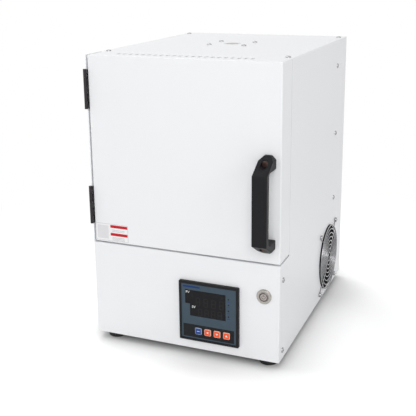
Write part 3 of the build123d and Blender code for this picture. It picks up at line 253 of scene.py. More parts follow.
def galvanisedFinish(name):
    look = sheetSteel
    made = Finish(name, metallic=look["metallic"])
    spangle = made.node("SeparateColor", {}, {"Color": made.cells(look["spangles"], "Color")})
    cloud = made.noise(*look["cloud"])
    stain = made.step(made.noise(*look["stain"]), *look["stainRange"])
    base = made.mix(spangle * look["spangleShare"] + cloud * look["cloudShare"], look["dark"], look["light"])
    rough = spangle * look["spangleRough"] + cloud * look["cloudRough"] + stain * look["stainRough"]
    made.set(colour=made.mix(stain * look["stainMix"], base, look["stained"]),
             roughness=rough + look["roughness"],
             normal=made.bump(spangle * look["spangleRelief"] + cloud, *look["relief"]))
    return made


brushed = {
    "colour": (0.63, 0.625, 0.61), "dark": (0.49, 0.485, 0.475), "marked": (0.3, 0.29, 0.28), "metallic": 1.0,
    "lines": (1, 3, 0.7), "cloud": (60, 3), "marks": (210, 4, 0.7), "markRange": (0.66, 0.8),
    "lineShare": 0.7, "cloudShare": 0.3, "markMix": 0.35,
    "roughness": 0.16, "lineRough": 0.18, "cloudRough": 0.08, "markRough": 0.1, "relief": (0.00002, 0.45),
}


def brushedFinish(name, stretch, colour=brushed["colour"], roughness=brushed["roughness"]):
    # stretch holds small numbers along the brushing and large ones across it
    look = brushed
    made = Finish(name, metallic=look["metallic"])
    lines = made.noise(*look["lines"], stretch)
    cloud = made.noise(*look["cloud"])
    mark = made.step(made.noise(*look["marks"]), *look["markRange"])
    base = made.mix(lines * look["lineShare"] + cloud * look["cloudShare"], look["dark"], colour)
    rough = lines * look["lineRough"] + cloud * look["cloudRough"] + mark * look["markRough"]
    made.set(colour=made.mix(mark * look["markMix"], base, look["marked"]), roughness=rough + roughness,
             normal=made.bump(lines, *look["relief"]))
    return made


# the printed power sign, and a painted shade ring round the cap
powerMarkAndGapShade = {
    "inner": 2.3 * mm, "outer": 3.0 * mm, "gap": 1.1 * mm, "barWide": 0.36 * mm, "bar": (0.6 * mm, 3.9 * mm),
    "groove": (4.9 * mm, 6.6 * mm), "grooveInk": 0.85, "inkAndShade": (0.045, 0.04, 0.038),
}


def capInkAndShade(made, reach, centre):
    # an open ring and the bar that stands in its gap are printed; the ring round the cap is painted shade
    # where the gap to the bezel lies
    aside = abs(made.x - centre[0])
    up = made.z - centre[1]
    opening = aside.below(powerMarkAndGapShade["gap"]) * up.above(0)
    ring = reach.inside(powerMarkAndGapShade["inner"], powerMarkAndGapShade["outer"]) * (1 - opening)
    bar = aside.below(powerMarkAndGapShade["barWide"]) * up.inside(*powerMarkAndGapShade["bar"])
    # painted shade: a dark ring on the cap stands in for the shadow in the gap round it
    groove = reach.inside(*powerMarkAndGapShade["groove"])
    return ring.larger(bar).larger(groove * powerMarkAndGapShade["grooveInk"])


turned = {
    "metallic": 1.0, "rings": 26000, "cloud": (320, 3), "wear": (700, 4, 0.7), "wearRange": (0.6, 0.78),
    "darker": 0.72, "cloudShare": 0.5, "wearShare": 0.3,
    "ringRough": 0.06, "cloudRough": 0.12, "wearRough": 0.12, "cloudRelief": 0.5, "relief": (0.000008, 0.5),
}


def turnedFinish(name, centre, colour, roughness, marked=False):
    # metal turned about an axis along Y, with fine rings left by the tool
    look = turned
    made = Finish(name, metallic=look["metallic"])
    reach = distance(made.x, made.z, centre)
    rings = (reach * look["rings"]).sine() * 0.5 + 0.5
    cloud = made.noise(*look["cloud"])
    wear = made.step(made.noise(*look["wear"]), *look["wearRange"])
    worn = cloud * look["cloudShare"] + wear * look["wearShare"]
    base = made.mix(worn, colour, shade(colour, look["darker"]))
    # a marked cap carries the printed power sign and a painted shade ring round its edge
    if marked:
        base = made.mix(capInkAndShade(made, reach, centre), base, powerMarkAndGapShade["inkAndShade"])
    rough = rings * look["ringRough"] + cloud * look["cloudRough"] + wear * look["wearRough"]
    made.set(colour=base, roughness=rough + roughness,
             normal=made.bump(rings + cloud * look["cloudRelief"], *look["relief"]))
    return made


plated = {
    "metallic": 1.0, "cloud": (420, 4, 0.6), "scratches": (1, 2, 0.6), "scratchStretch": (2600, 240, 900),
    "scratchRange": (0.6, 0.78), "tarnish": (130, 5, 0.7), "tarnishRange": (0.52, 0.74),
    "tarnished": 0.55, "tarnishMix": 0.45, "scratched": 1.3, "scratchMix": 0.2,
    "roughness": 0.16, "cloudRough": 0.14, "tarnishRough": 0.16,
    "scratchRelief": 0.6, "relief": (0.000015, 0.5),
}


def platedFinish(name, colour, roughness=plated["roughness"]):
    look = plated
    made = Finish(name, metallic=look["metallic"])
    cloud = made.noise(*look["cloud"])
    scratch = made.step(made.noise(*look["scratches"], look["scratchStretch"]), *look["scratchRange"])
    tarnish = made.step(made.noise(*look["tarnish"]), *look["tarnishRange"])
    base = made.mix(tarnish * look["tarnishMix"], colour, shade(colour, look["tarnished"]))
    made.set(colour=made.mix(scratch * look["scratchMix"], base, shade(colour, look["scratched"])),
             roughness=cloud * look["cloudRough"] + tarnish * look["tarnishRough"] + roughness,
             normal=made.bump(cloud + scratch * look["scratchRelief"], *look["relief"]))
    return made


moulded = {
    "pits": (3, 0.6), "cloud": (40, 4), "rub": (120, 5, 0.72), "rubRange": (0.6, 0.82),
    "darker": 0.86, "lighter": 1.12, "rubMix": 0.35, "rubLift": 0.004,
    "pitRough": 0.12, "cloudRough": 0.08, "rubGloss": 0.1, "strength": 0.6,
}


def mouldedFinish(name, colour, roughness, grain, depth=0.00003, worn=1.9, specular=0.4):
    look = moulded
    made = Finish(name, specular=specular)
    pits = made.noise(grain, *look["pits"])
    cloud = made.noise(*look["cloud"])
    rub = made.step(made.noise(*look["rub"]), *look["rubRange"])
    base = made.mix(cloud, shade(colour, look["darker"]), shade(colour, look["lighter"]))
    rough = pits * look["pitRough"] + cloud * look["cloudRough"] - rub * look["rubGloss"]
    made.set(colour=made.mix(rub * look["rubMix"], base, shade(colour, worn, look["rubLift"])),
             roughness=rough + roughness, normal=made.bump(pits, depth, look["strength"]))
    return made


fibre = {
    "light": (0.86, 0.83, 0.77), "dark": (0.72, 0.67, 0.58), "scorch": (0.47, 0.36, 0.26), "specular": 0.15,
    "strands": (1, 5, 0.75), "upright": (420, 90, 420), "lying": (90, 430, 260), "lumps": (65, 5, 0.65),
    "heat": (22, 5, 0.7), "heatRange": (0.48, 0.76), "strandShare": 0.6, "lumpShare": 0.4,
    "roughness": 0.82, "strandRough": 0.12, "lumpRelief": 0.8, "relief": (0.0006, 0.5),
}


def fibreFinish(name, scorched):
    look = fibre
    made = Finish(name, specular=look["specular"])
    upright = made.noise(*look["strands"], look["upright"])
    lying = made.noise(*look["strands"], look["lying"])
    strands = upright * 0.5 + lying * 0.5
    lumps = made.noise(*look["lumps"])
    base = made.mix(strands * look["strandShare"] + lumps * look["lumpShare"], look["dark"], look["light"])
    heat = made.step(made.noise(*look["heat"]), *look["heatRange"]) * scorched
    made.set(colour=made.mix(heat, base, look["scorch"]),
             roughness=strands * look["strandRough"] + look["roughness"],
             normal=made.bump(strands + lumps * look["lumpRelief"], *look["relief"]))
    return made


refractory = {
    "specular": 0.25, "grit": (900, 4, 0.7), "pores": 420, "poreSize": 0.16, "poreShadeColour": (0.38, 0.33, 0.27),
    "cloud": (38, 5, 0.6), "darker": 0.84, "poreShadeMix": 0.35,
    "roughness": 0.66, "gritRough": 0.2, "relief": (0.0002, 0.5),
}


def refractoryFinish(name, colour):
    look = refractory
    made = Finish(name, specular=look["specular"])
    grit = made.noise(*look["grit"])
    pores = made.cells(look["pores"]).below(look["poreSize"])
    base = made.mix(made.noise(*look["cloud"]), shade(colour, look["darker"]), colour)
    # painted shade: the pores are darkened in colour as well as sunk by the bump
    made.set(colour=made.mix(pores * look["poreShadeMix"], base, look["poreShadeColour"]),
             roughness=grit * look["gritRough"] + look["roughness"],
             normal=made.bump(grit - pores, *look["relief"]))
    return made


footRubberLook = {
    "black": (0.008, 0.008, 0.009), "grey": (0.02, 0.02, 0.021), "dust": (0.11, 0.105, 0.1), "specular": 0.3,
    "grain": (1100, 4, 0.65), "dustHeight": (0.007, 0.0005),
    "patches": (160, 5, 0.7), "patchRange": (0.42, 0.7),
    "dustMix": 0.5, "roughness": 0.55, "grainRough": 0.2, "dustRough": 0.15, "relief": (0.00006, 0.6),
}


def rubberFinish(name):
    look = footRubberLook
    made = Finish(name, specular=look["specular"])
    grain = made.noise(*look["grain"])
    patch = made.step(made.noise(*look["patches"]), *look["patchRange"])
    dust = made.step(made.z, *look["dustHeight"]) * patch
    base = made.mix(grain, look["black"], look["grey"])
    made.set(colour=made.mix(dust * look["dustMix"], base, look["dust"]),
             roughness=grain * look["grainRough"] + dust * look["dustRough"] + look["roughness"],
             normal=made.bump(grain, *look["relief"]))
    return made


coilWireLook = {
    "dark": (0.13, 0.10, 0.085), "light": (0.33, 0.28, 0.24), "metallic": 0.5, "specular": 0.3,
    "scale": (600, 5, 0.7), "roughness": 0.55, "scaleRough": 0.25, "relief": (0.00005, 0.6),
}


def coilFinish(name):
    look = coilWireLook
    made = Finish(name, metallic=look["metallic"], specular=look["specular"])
    scale = made.noise(*look["scale"])
    made.set(colour=made.mix(scale, look["dark"], look["light"]), normal=made.bump(scale, *look["relief"]),
             roughness=scale * look["scaleRough"] + look["roughness"])
    return made


# places on the controller are shares of its size, from its middle, and a box is (left, right, low, high)
controllerFace = {
    "size": 96 * mm, "slate": (0.050, 0.077, 0.102), "darker": 0.9, "lighter": 1.1,
    "strip": (0.008, 0.0085, 0.0105), "blue": (0.008, 0.035, 0.15),
    "stripBox": (-0.432, 0.426, -0.438, -0.22), "badgeBox": (-0.432, -0.143, 0.400, 0.430),
    "lampX": 0.335, "lampZ": (0.294, 0.20, 0.10, 0.003), "lampRadius": 0.0125, "lamp": (0.012, 0.013, 0.018),
    "tickHalf": 0.02, "tickDrop": (0.043, 0.033), "tick": (0.02, 0.04, 0.22),
    "specular": 0.18, "grain": (1700, 3, 0.6), "cloud": (90, 3),
    "roughness": 0.36, "grainRough": 0.12, "cloudRough": 0.06, "relief": (0.000012, 0.5),
}


def faceFinish(name):
    # the printed film on the controller: a dark strip behind the keys and small lamps beside the display
    look = controllerFace
    made = Finish(name, specular=look["specular"])
    centre = furnace["bezelCentre"]
    u, v = (made.x - centre[0]) / look["size"], (made.z - centre[1]) / look["size"]

    def boxMask(left, right, low, high):
        return u.inside(left, right) * v.inside(low, high)

    grain = made.noise(*look["grain"])
    cloud = made.noise(*look["cloud"])
    colour = made.mix(cloud, shade(look["slate"], look["darker"]), shade(look["slate"], look["lighter"]))
    colour = made.mix(boxMask(*look["stripBox"]), colour, look["strip"])
    colour = made.mix(boxMask(*look["badgeBox"]), colour, look["blue"])
    left, right = look["lampX"] - look["tickHalf"], look["lampX"] + look["tickHalf"]
    for height in look["lampZ"]:
        lamp = distance(u, v, (look["lampX"], height)).below(look["lampRadius"])
        colour = made.mix(lamp, colour, look["lamp"])
        low, high = (height - drop for drop in look["tickDrop"])
        colour = made.mix(boxMask(left, right, low, high), colour, look["tick"])
    rough = grain * look["grainRough"] + cloud * look["cloudRough"]
    made.set(colour=colour, roughness=rough + look["roughness"], normal=made.bump(grain, *look["relief"]))
    return made


# in millimetres from the middle of the controller
unlitDigits = {
    "rows": ({"start": -20.5, "tall": 12.9, "pitch": 12.6, "middle": 16.6},
             {"start": -17.2, "tall": 12.0, "pitch": 10.6, "middle": -0.3}),
    "digits": 4, "wide": 7.2, "stroke": 1.5,
    "glass": (0.0075, 0.0073, 0.009), "unlit": (0.0155, 0.0145, 0.016), "mote": (0.03, 0.03, 0.03),
    "specular": 0.14, "smear": (55, 5, 0.7), "motes": 650, "moteSize": 0.04, "moteMix": 0.3,
    "roughness": 0.1, "smearRough": 0.16, "relief": (0.00002, 0.2),
}


def digitMask(across, up, row):
    # the segments of one row: three bars and two uprights in every digit
    wide, stroke = unlitDigits["wide"], unlitDigits["stroke"]
    place = ((across - row["start"]) / row["pitch"]).fraction() * row["pitch"]
    inRow = across.inside(row["start"], row["start"] + unlitDigits["digits"] * row["pitch"])
    parts = []
    for level in (-1, 0, 1):
        height = row["middle"] + level * row["tall"] / 2
        bar = up.inside(height - stroke / 2, height + stroke / 2)
        parts.append(bar * place.inside(stroke, wide - stroke))
    tallness = up.inside(row["middle"] - row["tall"] / 2, row["middle"] + row["tall"] / 2)
    for side in (0, wide - stroke):
        parts.append(place.inside(side, side + stroke) * tallness)
    segments = parts[0]
    for part in parts[1:]:
        segments = segments.larger(part)
    return segments * inRow


def lensFinish(name):
    # smoked glass, with the unlit segments of two rows of four digits just to be seen
    look = unlitDigits
    made = Finish(name, specular=look["specular"])
    centre = furnace["bezelCentre"]
    across, up = (made.x - centre[0]) / mm, (made.z - centre[1]) / mm
    first, second = (digitMask(across, up, row) for row in look["rows"])
    smear = made.noise(*look["smear"])
    mote = made.cells(look["motes"]).below(look["moteSize"])
    colour = made.mix(first.larger(second), look["glass"], look["unlit"])
    made.set(colour=made.mix(mote * look["moteMix"], colour, look["mote"]),
             roughness=smear * look["smearRough"] + look["roughness"],
             normal=made.bump(smear, *look["relief"]))
    return made


keycap = {
    "darker": 0.9, "lighter": 1.08, "specular": 0.45, "grain": (900, 3), "rimRange": (4.35 * mm, 4.75 * mm),
    "roughness": 0.3, "grainRough": 0.14, "relief": (0.00002, 0.4),
}


def keyFinish(name, node, colour, rim):
    # a translucent keycap with a pale rim round its front
    low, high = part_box(node)
    centre = (low + high) / 2
    look = keycap
    made = Finish(name, specular=look["specular"])
    reach = abs(made.x - centre.x).larger(abs(made.z - centre.z))
    grain = made.noise(*look["grain"])
    base = made.mix(grain, shade(colour, look["darker"]), shade(colour, look["lighter"]))
    made.set(colour=made.mix(made.step(reach, *look["rimRange"]), base, rim),
             roughness=grain * look["grainRough"] + look["roughness"],
             normal=made.bump(grain, *look["relief"]))
    return made


# in millimetres
doorLabel = {
    "left": -148.0, "right": -92.2, "low": 168.8, "high": 196.4, "thickness": 0.12, "corner": 1.2,
    "cornerParts": (0, 30, 60, 90), "border": 0.5, "film": (0.86, 0.86, 0.87), "edge": (0.50, 0.50, 0.53),
    "red": (0.52, 0.006, 0.012), "grey": (0.30, 0.30, 0.33),
    "redBars": ((177.6, 182.2), (190.4, 195.0)), "barLeft": -122.6, "barInset": 0.9,
    "lines": (170.6, 172.6, 174.6, 184.4, 186.6), "lineHigh": 0.6,
    "lineIndent": 3, "lineInset": 6, "lineMix": 0.8,
    "panelLeft": -145.4, "panelRight": -126.0, "panelInset": 3, "panelMix": 0.25,
    "darker": 0.95, "specular": 0.3, "grain": (1300, 3, 0.6), "grainMix": 0.6,
    "roughness": 0.34, "grainRough": 0.14, "relief": (0.000012, 0.4),
}


def labelFinish(name):
    # plain printed film: two bars, rows of fine lines and an empty panel
    look = doorLabel
    made = Finish(name, specular=look["specular"])
    across, up = made.x / mm, made.z / mm

    def boxMask(left, right, low, high):
        return across.inside(left, right) * up.inside(low, high)

    grain = made.noise(*look["grain"])
    colour = made.mix(grain * look["grainMix"], look["film"], shade(look["film"], look["darker"]))
    border, inset = look["border"], look["panelInset"]
    inner = boxMask(look["left"] + border, look["right"] - border,
                    look["low"] + border, look["high"] - border)
    colour = made.mix(inner, look["edge"], colour)
    for low, high in look["redBars"]:
        bar = boxMask(look["barLeft"], look["right"] - look["barInset"], low, high)
        colour = made.mix(bar, colour, look["red"])
    for height in look["lines"]:
        line = boxMask(look["barLeft"] + look["lineIndent"], look["right"] - look["lineInset"],
                       height, height + look["lineHigh"])
        colour = made.mix(line * look["lineMix"], colour, look["grey"])
    panel = boxMask(look["panelLeft"], look["panelRight"], look["low"] + inset, look["high"] - inset)
    made.set(colour=made.mix(panel * look["panelMix"], colour, look["grey"]),
             roughness=grain * look["grainRough"] + look["roughness"],
             normal=made.bump(grain, *look["relief"]))
    return made


whiteInk = {
    "colour": (0.82, 0.82, 0.82), "darker": 0.86, "specular": 0.3, "patch": (1500, 4, 0.7),
    "roughness": 0.43, "patchRough": 0.15, "relief": (0.00001, 0.4),
}


def inkFinish(name):
    look = whiteInk
    made = Finish(name, specular=look["specular"])
    patch = made.noise(*look["patch"])
    made.set(colour=made.mix(patch, shade(look["colour"], look["darker"]), look["colour"]),
             roughness=patch * look["patchRough"] + look["roughness"],
             normal=made.bump(patch, *look["relief"]))
    return made


alongX, alongY = (25, 2400, 2400), (2400, 25, 2400)  # the way of the brushing
enamel = enamelFinish("whiteEnamel")
galvanised = galvanisedFinish("galvanisedSheet")
frameSteel = brushedFinish("frameSteel", alongX)
backPlateSteel = brushedFinish("backPlateSteel", alongX)
sinkAluminium = brushedFinish("sinkAluminium", alongY, (0.68, 0.69, 0.71), roughness=0.2)
screwNickel = platedFinish("screwNickel", (0.37, 0.37, 0.38))
handleScrewSteel = platedFinish("handleScrewSteel", (0.115, 0.074, 0.068), roughness=0.26)
hingeBlack = platedFinish("hingeBlack", (0.048, 0.043, 0.047), roughness=0.30)
guardChrome = platedFinish("guardChrome", (0.34, 0.34, 0.35), roughness=0.10)
fibreWhite = fibreFinish("fibreBoard", scorched=0.12)
fibreScorched = fibreFinish("chamberFibre", scorched=0.4)
hearthCeramic = refractoryFinish("hearthCeramic", (0.74, 0.66, 0.54))
tubeCeramic = refractoryFinish("tubeCeramic", (0.80, 0.785, 0.75))
footRubber = rubberFinish("footRubber")
coilWire = coilFinish("coilWire")
handlePlastic = mouldedFinish("handlePlastic", (0.0075, 0.0078, 0.0092), roughness=0.40, grain=1500,
                              depth=0.00004, specular=0.18)
bezelPlastic = mouldedFinish("bezelPlastic", (0.0065, 0.0065, 0.0075), roughness=0.36, grain=1900,
                             depth=0.00002, specular=0.2)
fanPlastic = mouldedFinish("fanPlastic", (0.014, 0.014, 0.016), roughness=0.44, grain=1100, depth=0.00004)
inletPlastic = mouldedFinish("inletPlastic", (0.03, 0.03, 0.032), roughness=0.42, grain=1300)
terminalPlastic = mouldedFinish("terminalPlastic", (0.66, 0.62, 0.52), roughness=0.44, grain=1300, worn=0.9)
magnetIron = mouldedFinish("magnetIron", (0.05, 0.05, 0.053), roughness=0.44, grain=700, depth=0.00006)
switchSteel = turnedFinish("switchSteel", furnace["buttonCentre"], (0.39, 0.37, 0.345), roughness=0.14)
capSteel = turnedFinish("capSteel", furnace["buttonCentre"], (0.43, 0.385, 0.365), roughness=0.22,
                        marked=True)
controllerFilm = faceFinish("controllerFilm")
displayLens = lensFinish("displayLens")
keyBlue = keyFinish("keyBlue", "key_set", (0.004, 0.040, 0.24), rim=(0.36, 0.46, 0.60))
keyOranges = {node: keyFinish(node + "Orange", node, (0.86, 0.085, 0.012), rim=(0.93, 0.55, 0.42))
              for node in ("key_left", "key_down", "key_up")}
markWhite = inkFinish("markWhite")
labelFilm = labelFinish("labelFilm")
print("finishes made:", len(bpy.data.materials))

# ---- materials on the CAD nodes ----

dressing = [
    (enamel, ("left_side_panel", "right_side_panel", "top_panel", "rear_panel", "lower_front_panel",
              "door_shell")),
    (galvanised, ("base_pan", "divider_shelf", "rear_bulkhead", "exhaust_flange")),
    (frameSteel, ("front_frame",)),
    (backPlateSteel, ("door_back_plate",)),
    (screwNickel, ("foot_screws", "top_screws", "side_screws", "rear_screws", "fan_screws")),
    (handleScrewSteel, ("handle_screws",)),
    (hingeBlack, ("hinge_fixed_leaves", "hinge_door_leaves", "hinge_pins", "hinge_rivets",
                  "hinge_door_screws")),
    (guardChrome, ("fan_guard",)),
    (fibreWhite, ("insulation_bottom", "insulation_top", "insulation_sides", "insulation_rear")),
    (fibreScorched, ("muffle", "heater_panel_left", "heater_panel_right", "door_insulation")),
    (hearthCeramic, ("hearth_plate",)),
    (tubeCeramic, ("exhaust_tube", "thermocouple")),
    (footRubber, ("rubber_feet",)),
    (coilWire, ("heating_coil_left", "heating_coil_right")),
    (handlePlastic, ("handle",)),
    (bezelPlastic, ("controller_case", "controller_clamp", "relay")),
    (fanPlastic, ("fan_frame", "fan_impeller")),
    (inletPlastic, ("cable_inlet", "inlet_nut")),
    (terminalPlastic, ("terminal_block",)),
    (magnetIron, ("door_magnet",)),
    (sinkAluminium, ("heat_sink",)),
    (switchSteel, ("power_switch_body", "power_switch_nut")),
    (capSteel, ("power_button",)),
    (controllerFilm, ("controller_face",)),
    (displayLens, ("display_lens",)),
    (keyBlue, ("key_set",)),
    *((made, (node,)) for node, made in keyOranges.items()),
]


def dress(node, made):
    shown = nodes[node]
    if not shown.material_slots:
        shown.data.materials.append(made.material)
    for slot in shown.material_slots:
        slot.material = made.material


for made, names in dressing:
    for name in names:
        dress(name, made)
undressed = set(nodes) - {name for made, names in dressing for name in names}
print("nodes dressed, without a finish:", sorted(undressed))

# ---- making pieces ----

weld = {"fine": 1e-7, "coarse": 1e-6}  # vertices closer than this are joined


def finishedPiece(name, mesh, body, made, stoodFor=(), sharp=35):
    # takes a bmesh whose vertices are already in place, sharp is in degrees
    bmesh.ops.remove_doubles(mesh, verts=mesh.verts, dist=weld["fine"])
    bmesh.ops.recalc_face_normals(mesh, faces=mesh.faces)
    for face in mesh.faces:
        face.smooth = True
    for edge in mesh.edges:
        edge.smooth = edge.calc_face_angle(0) < math.radians(sharp)
    data = bpy.data.meshes.new(name)
    mesh.to_mesh(data)
    mesh.free()
    piece = bpy.data.objects.new(name, data)
    piece.data.materials.append(made.material)
    bpy.context.scene.collection.objects.link(piece)
    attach(piece, body)
    if stoodFor:
        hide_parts(*stoodFor)


def islands(node):
    # lowest and highest corners of each loose solid in a CAD node
    copy = bmesh.new()
    copy.from_mesh(nodes[node].data)
    bmesh.ops.remove_doubles(copy, verts=copy.verts, dist=weld["coarse"])
    left = set(copy.verts)
    found = []
    while left:
        ready = [left.pop()]
        group = list(ready)
        while ready:
            for edge in ready.pop().link_edges:
                for vert in edge.verts:
                    if vert in left:
                        left.discard(vert)
                        ready.append(vert)
                        group.append(vert)
        corners = [[pick(vert.co[axis] for vert in group) for axis in range(3)] for pick in (min, max)]
        found.append(tuple(Vector(corner) for corner in corners))
    copy.free()
    return sorted(found, key=lambda pair: tuple(pair[0]))


def joinCopies(template, places):
    # one bmesh with a copy of the template at each matrix
    joined = bmesh.new()
    data = bpy.data.meshes.new("template")
    template.to_mesh(data)
    for place in places:
        start = len(joined.verts)
        joined.from_mesh(data)
        joined.verts.ensure_lookup_table()
        bmesh.ops.transform(joined, matrix=place, verts=joined.verts[start:])
    bpy.data.meshes.remove(data)
    template.free()
    return joined


def facing(origin, outward):
    # carries +Z of a template to the outward direction
    turn = Vector((0, 0, 1)).rotation_difference(outward)
    return Matrix.Translation(origin) @ turn.to_matrix().to_4x4()


# ---- cross-recessed screws ----

# in millimetres and degrees
screwHead = {
    "radius": 4.0, "height": 2.2, "rim": 0.75, "domeSteps": 5, "shank": 2.0, "sides": 20,
    "slotLong": 2.35, "slotWide": 0.62, "slotDeep": 1.15, "slotTaper": 0.45, "turnStep": 47,
}
screwRows = {
    "top_screws": {"outward": (0, 0, 1), "length": 7, "turn": 10},
    "side_screws": {"outward": (1, 0, 0), "length": 7, "turn": 25},
    "rear_screws": {"outward": (0, 1, 0), "length": 7, "turn": 5},
    "fan_screws": {"outward": (1, 0, 0), "length": 14, "turn": 35},
}


def crossScrew(length):
    head = bmesh.new()
    shape = screwHead
    outline = [(0, shape["height"])]
    for part in range(1, shape["domeSteps"] + 1):
        angle = math.radians(90 * part / shape["domeSteps"])
        outline.append((shape["radius"] * math.sin(angle),
                        shape["rim"] + (shape["height"] - shape["rim"]) * math.cos(angle)))
    outline += [(shape["radius"], 0.0), (shape["shank"], 0.0), (shape["shank"], -length), (0, -length)]
    chain = [head.verts.new((x * mm, 0, z * mm)) for x, z in outline]
    edges = [head.edges.new(pair) for pair in zip(chain, chain[1:])]
    bmesh.ops.spin(head, geom=chain + edges, cent=(0, 0, 0), axis=(0, 0, 1), angle=math.tau,
                   steps=shape["sides"], use_merge=True)
    bmesh.ops.remove_doubles(head, verts=head.verts, dist=weld["fine"])
    bmesh.ops.recalc_face_normals(head, faces=head.faces)
    cutter = bmesh.new()
    slot = (shape["slotLong"] * 2 * mm, shape["slotWide"] * mm, shape["slotDeep"] * 2 * mm)
    for turn in (0, 90):
        arm = bmesh.ops.create_cube(cutter, size=1)["verts"]
        bmesh.ops.scale(cutter, vec=slot, verts=arm)
        for vert in arm:
            if vert.co.z < 0:
                vert.co.x *= shape["slotTaper"]
        bmesh.ops.rotate(cutter, matrix=Matrix.Rotation(math.radians(turn), 3, "Z"), verts=arm)
        bmesh.ops.translate(cutter, vec=(0, 0, shape["height"] * mm), verts=arm)
    return carve(head, cutter)


def carve(body, tool):
    # cuts one bmesh out of another and gives back a new bmesh
    pair = []
    for mesh in (body, tool):
        data = bpy.data.meshes.new("carving")
        mesh.to_mesh(data)
        mesh.free()
        pair.append(bpy.data.objects.new("carving", data))
        bpy.context.scene.collection.objects.link(pair[-1])
    cut = pair[0].modifiers.new("cut", "BOOLEAN")
    cut.operation = "DIFFERENCE"
    cut.solver = "EXACT"
    cut.use_self = True
    cut.object = pair[1]
    bpy.context.view_layer.update()
    result = bmesh.new()
    result.from_mesh(pair[0].evaluated_get(bpy.context.evaluated_depsgraph_get()).data)
    for made in pair:
        data = made.data
        bpy.data.objects.remove(made)
        bpy.data.meshes.remove(data)
    return result


def screwTip(low, high, outward):
    # the middle of the side of the box that faces outward
    tip = (low + high) / 2
    for axis in range(3):
        if outward[axis]:
            tip[axis] = high[axis] if outward[axis] > 0 else low[axis]
    return tip


def screwPiece(node, row):
    places = []
    for index, (low, high) in enumerate(islands(node)):
        outward = Vector(row["outward"])
        if outward.x and low.x + high.x < 0:  # the left side's screws face the other way
            outward.negate()
        seat = screwTip(low, high, outward) - outward * screwHead["height"] * mm
        turn = Matrix.Rotation(math.radians(row["turn"] + screwHead["turnStep"] * index), 4, "Z")
        places.append(facing(seat, outward) @ turn)
    screws = joinCopies(crossScrew(row["length"]), places)
    finishedPiece(node + "_crossed", screws, "cabinet", screwNickel, (node,))


for node, row in screwRows.items():
    screwPiece(node, row)
print("screws made")

# ---- finger guard of round wire ----

# in millimetres, the X places from the cabinet's middle
fingerGuard = {
    "wire": 1.0, "sides": 8, "firstRing": 8.0, "ringPitch": 7.0, "rings": 8, "ringSteps": 72, "ringX": 154.4,
    "armX": 153.4, "armTurns": (45, 135, 225, 315), "armStarts": (6.2, 20, 40), "lastOnRings": (-1, 0.6),
    "flatX": 152.2, "firstOnFlat": (2.4, 4), "eyeDistance": 74.25, "eyeRadius": 3.25, "eyeSteps": 24,
    "bevelSteps": 2, "curveSteps": 5, "curveOrder": 3,
}


def wireRing(mesh, radius, x, centre, steps):
    wire = fingerGuard["wire"] * mm
    ring = bmesh.ops.create_circle(mesh, radius=wire, segments=fingerGuard["sides"])["verts"]
    bmesh.ops.translate(mesh, vec=(x * mm, centre[0] + radius * mm, centre[1]), verts=ring)
    edges = [edge for edge in mesh.edges if edge.verts[0] in ring and edge.verts[1] in ring]
    bmesh.ops.spin(mesh, geom=ring + edges, cent=(x * mm, centre[0], centre[1]), axis=(1, 0, 0),
                   angle=math.tau, steps=steps, use_merge=True)


def addBentWire(mesh, points):
    # a bent wire through the points, added to the bmesh
    curve = bpy.data.curves.new("wire", "CURVE")
    curve.dimensions = "3D"
    curve.bevel_depth = fingerGuard["wire"] * mm
    curve.bevel_resolution = fingerGuard["bevelSteps"]
    curve.use_fill_caps = True
    curve.resolution_u = fingerGuard["curveSteps"]
    line = curve.splines.new("NURBS")
    line.points.add(len(points) - 1)
    for point, place in zip(line.points, points):
        point.co = (*place, 1)
    line.use_endpoint_u = True
    line.order_u = fingerGuard["curveOrder"]
    made = bpy.data.objects.new("wire", curve)
    bpy.context.scene.collection.objects.link(made)
    data = bpy.data.meshes.new_from_object(made)
    mesh.from_mesh(data)
    bpy.data.objects.remove(made)
    bpy.data.curves.remove(curve)
    bpy.data.meshes.remove(data)


def makeFingerGuard(shape):
    guard = bmesh.new()
    centre = furnace["fanCentre"]
    reaches = [shape["firstRing"] + index * shape["ringPitch"] for index in range(shape["rings"])]
    for reach in reaches:
        wireRing(guard, reach, shape["ringX"], centre, shape["ringSteps"])
    outer = reaches[-1]
    bends = [(shape["armX"], reach) for reach in shape["armStarts"]]
    bends += [(shape["armX"], outer + past) for past in shape["lastOnRings"]]
    bends += [(shape["flatX"], outer + past) for past in shape["firstOnFlat"]]
    bends.append((shape["flatX"], shape["eyeDistance"] - shape["eyeRadius"]))
    for turn in shape["armTurns"]:
        across, up = math.cos(math.radians(turn)), math.sin(math.radians(turn))
        addBentWire(guard, [(x * mm, centre[0] + across * reach * mm, centre[1] + up * reach * mm)
                            for x, reach in bends])
        eye = (centre[0] + across * shape["eyeDistance"] * mm, centre[1] + up * shape["eyeDistance"] * mm)
        wireRing(guard, shape["eyeRadius"], shape["flatX"], eye, shape["eyeSteps"])
    finishedPiece("finger_guard_wire", guard, "cabinet", guardChrome, ("fan_guard",), sharp=60)


makeFingerGuard(fingerGuard)
print("finger guard made")

# ---- wound heating coils ----

# in millimetres, bendHandle is a half circle's Bezier handle as a share of its radius
heatingCoil = {
    "wire": 0.65, "sides": 5, "turnRadius": 2.8, "turnPitch": 3.1, "stepsPerTurn": 12,
    "passes": 5, "passPitch": 21.0, "bendRoom": 28, "bendHandle": 1.3333, "bendSteps": 24,
}


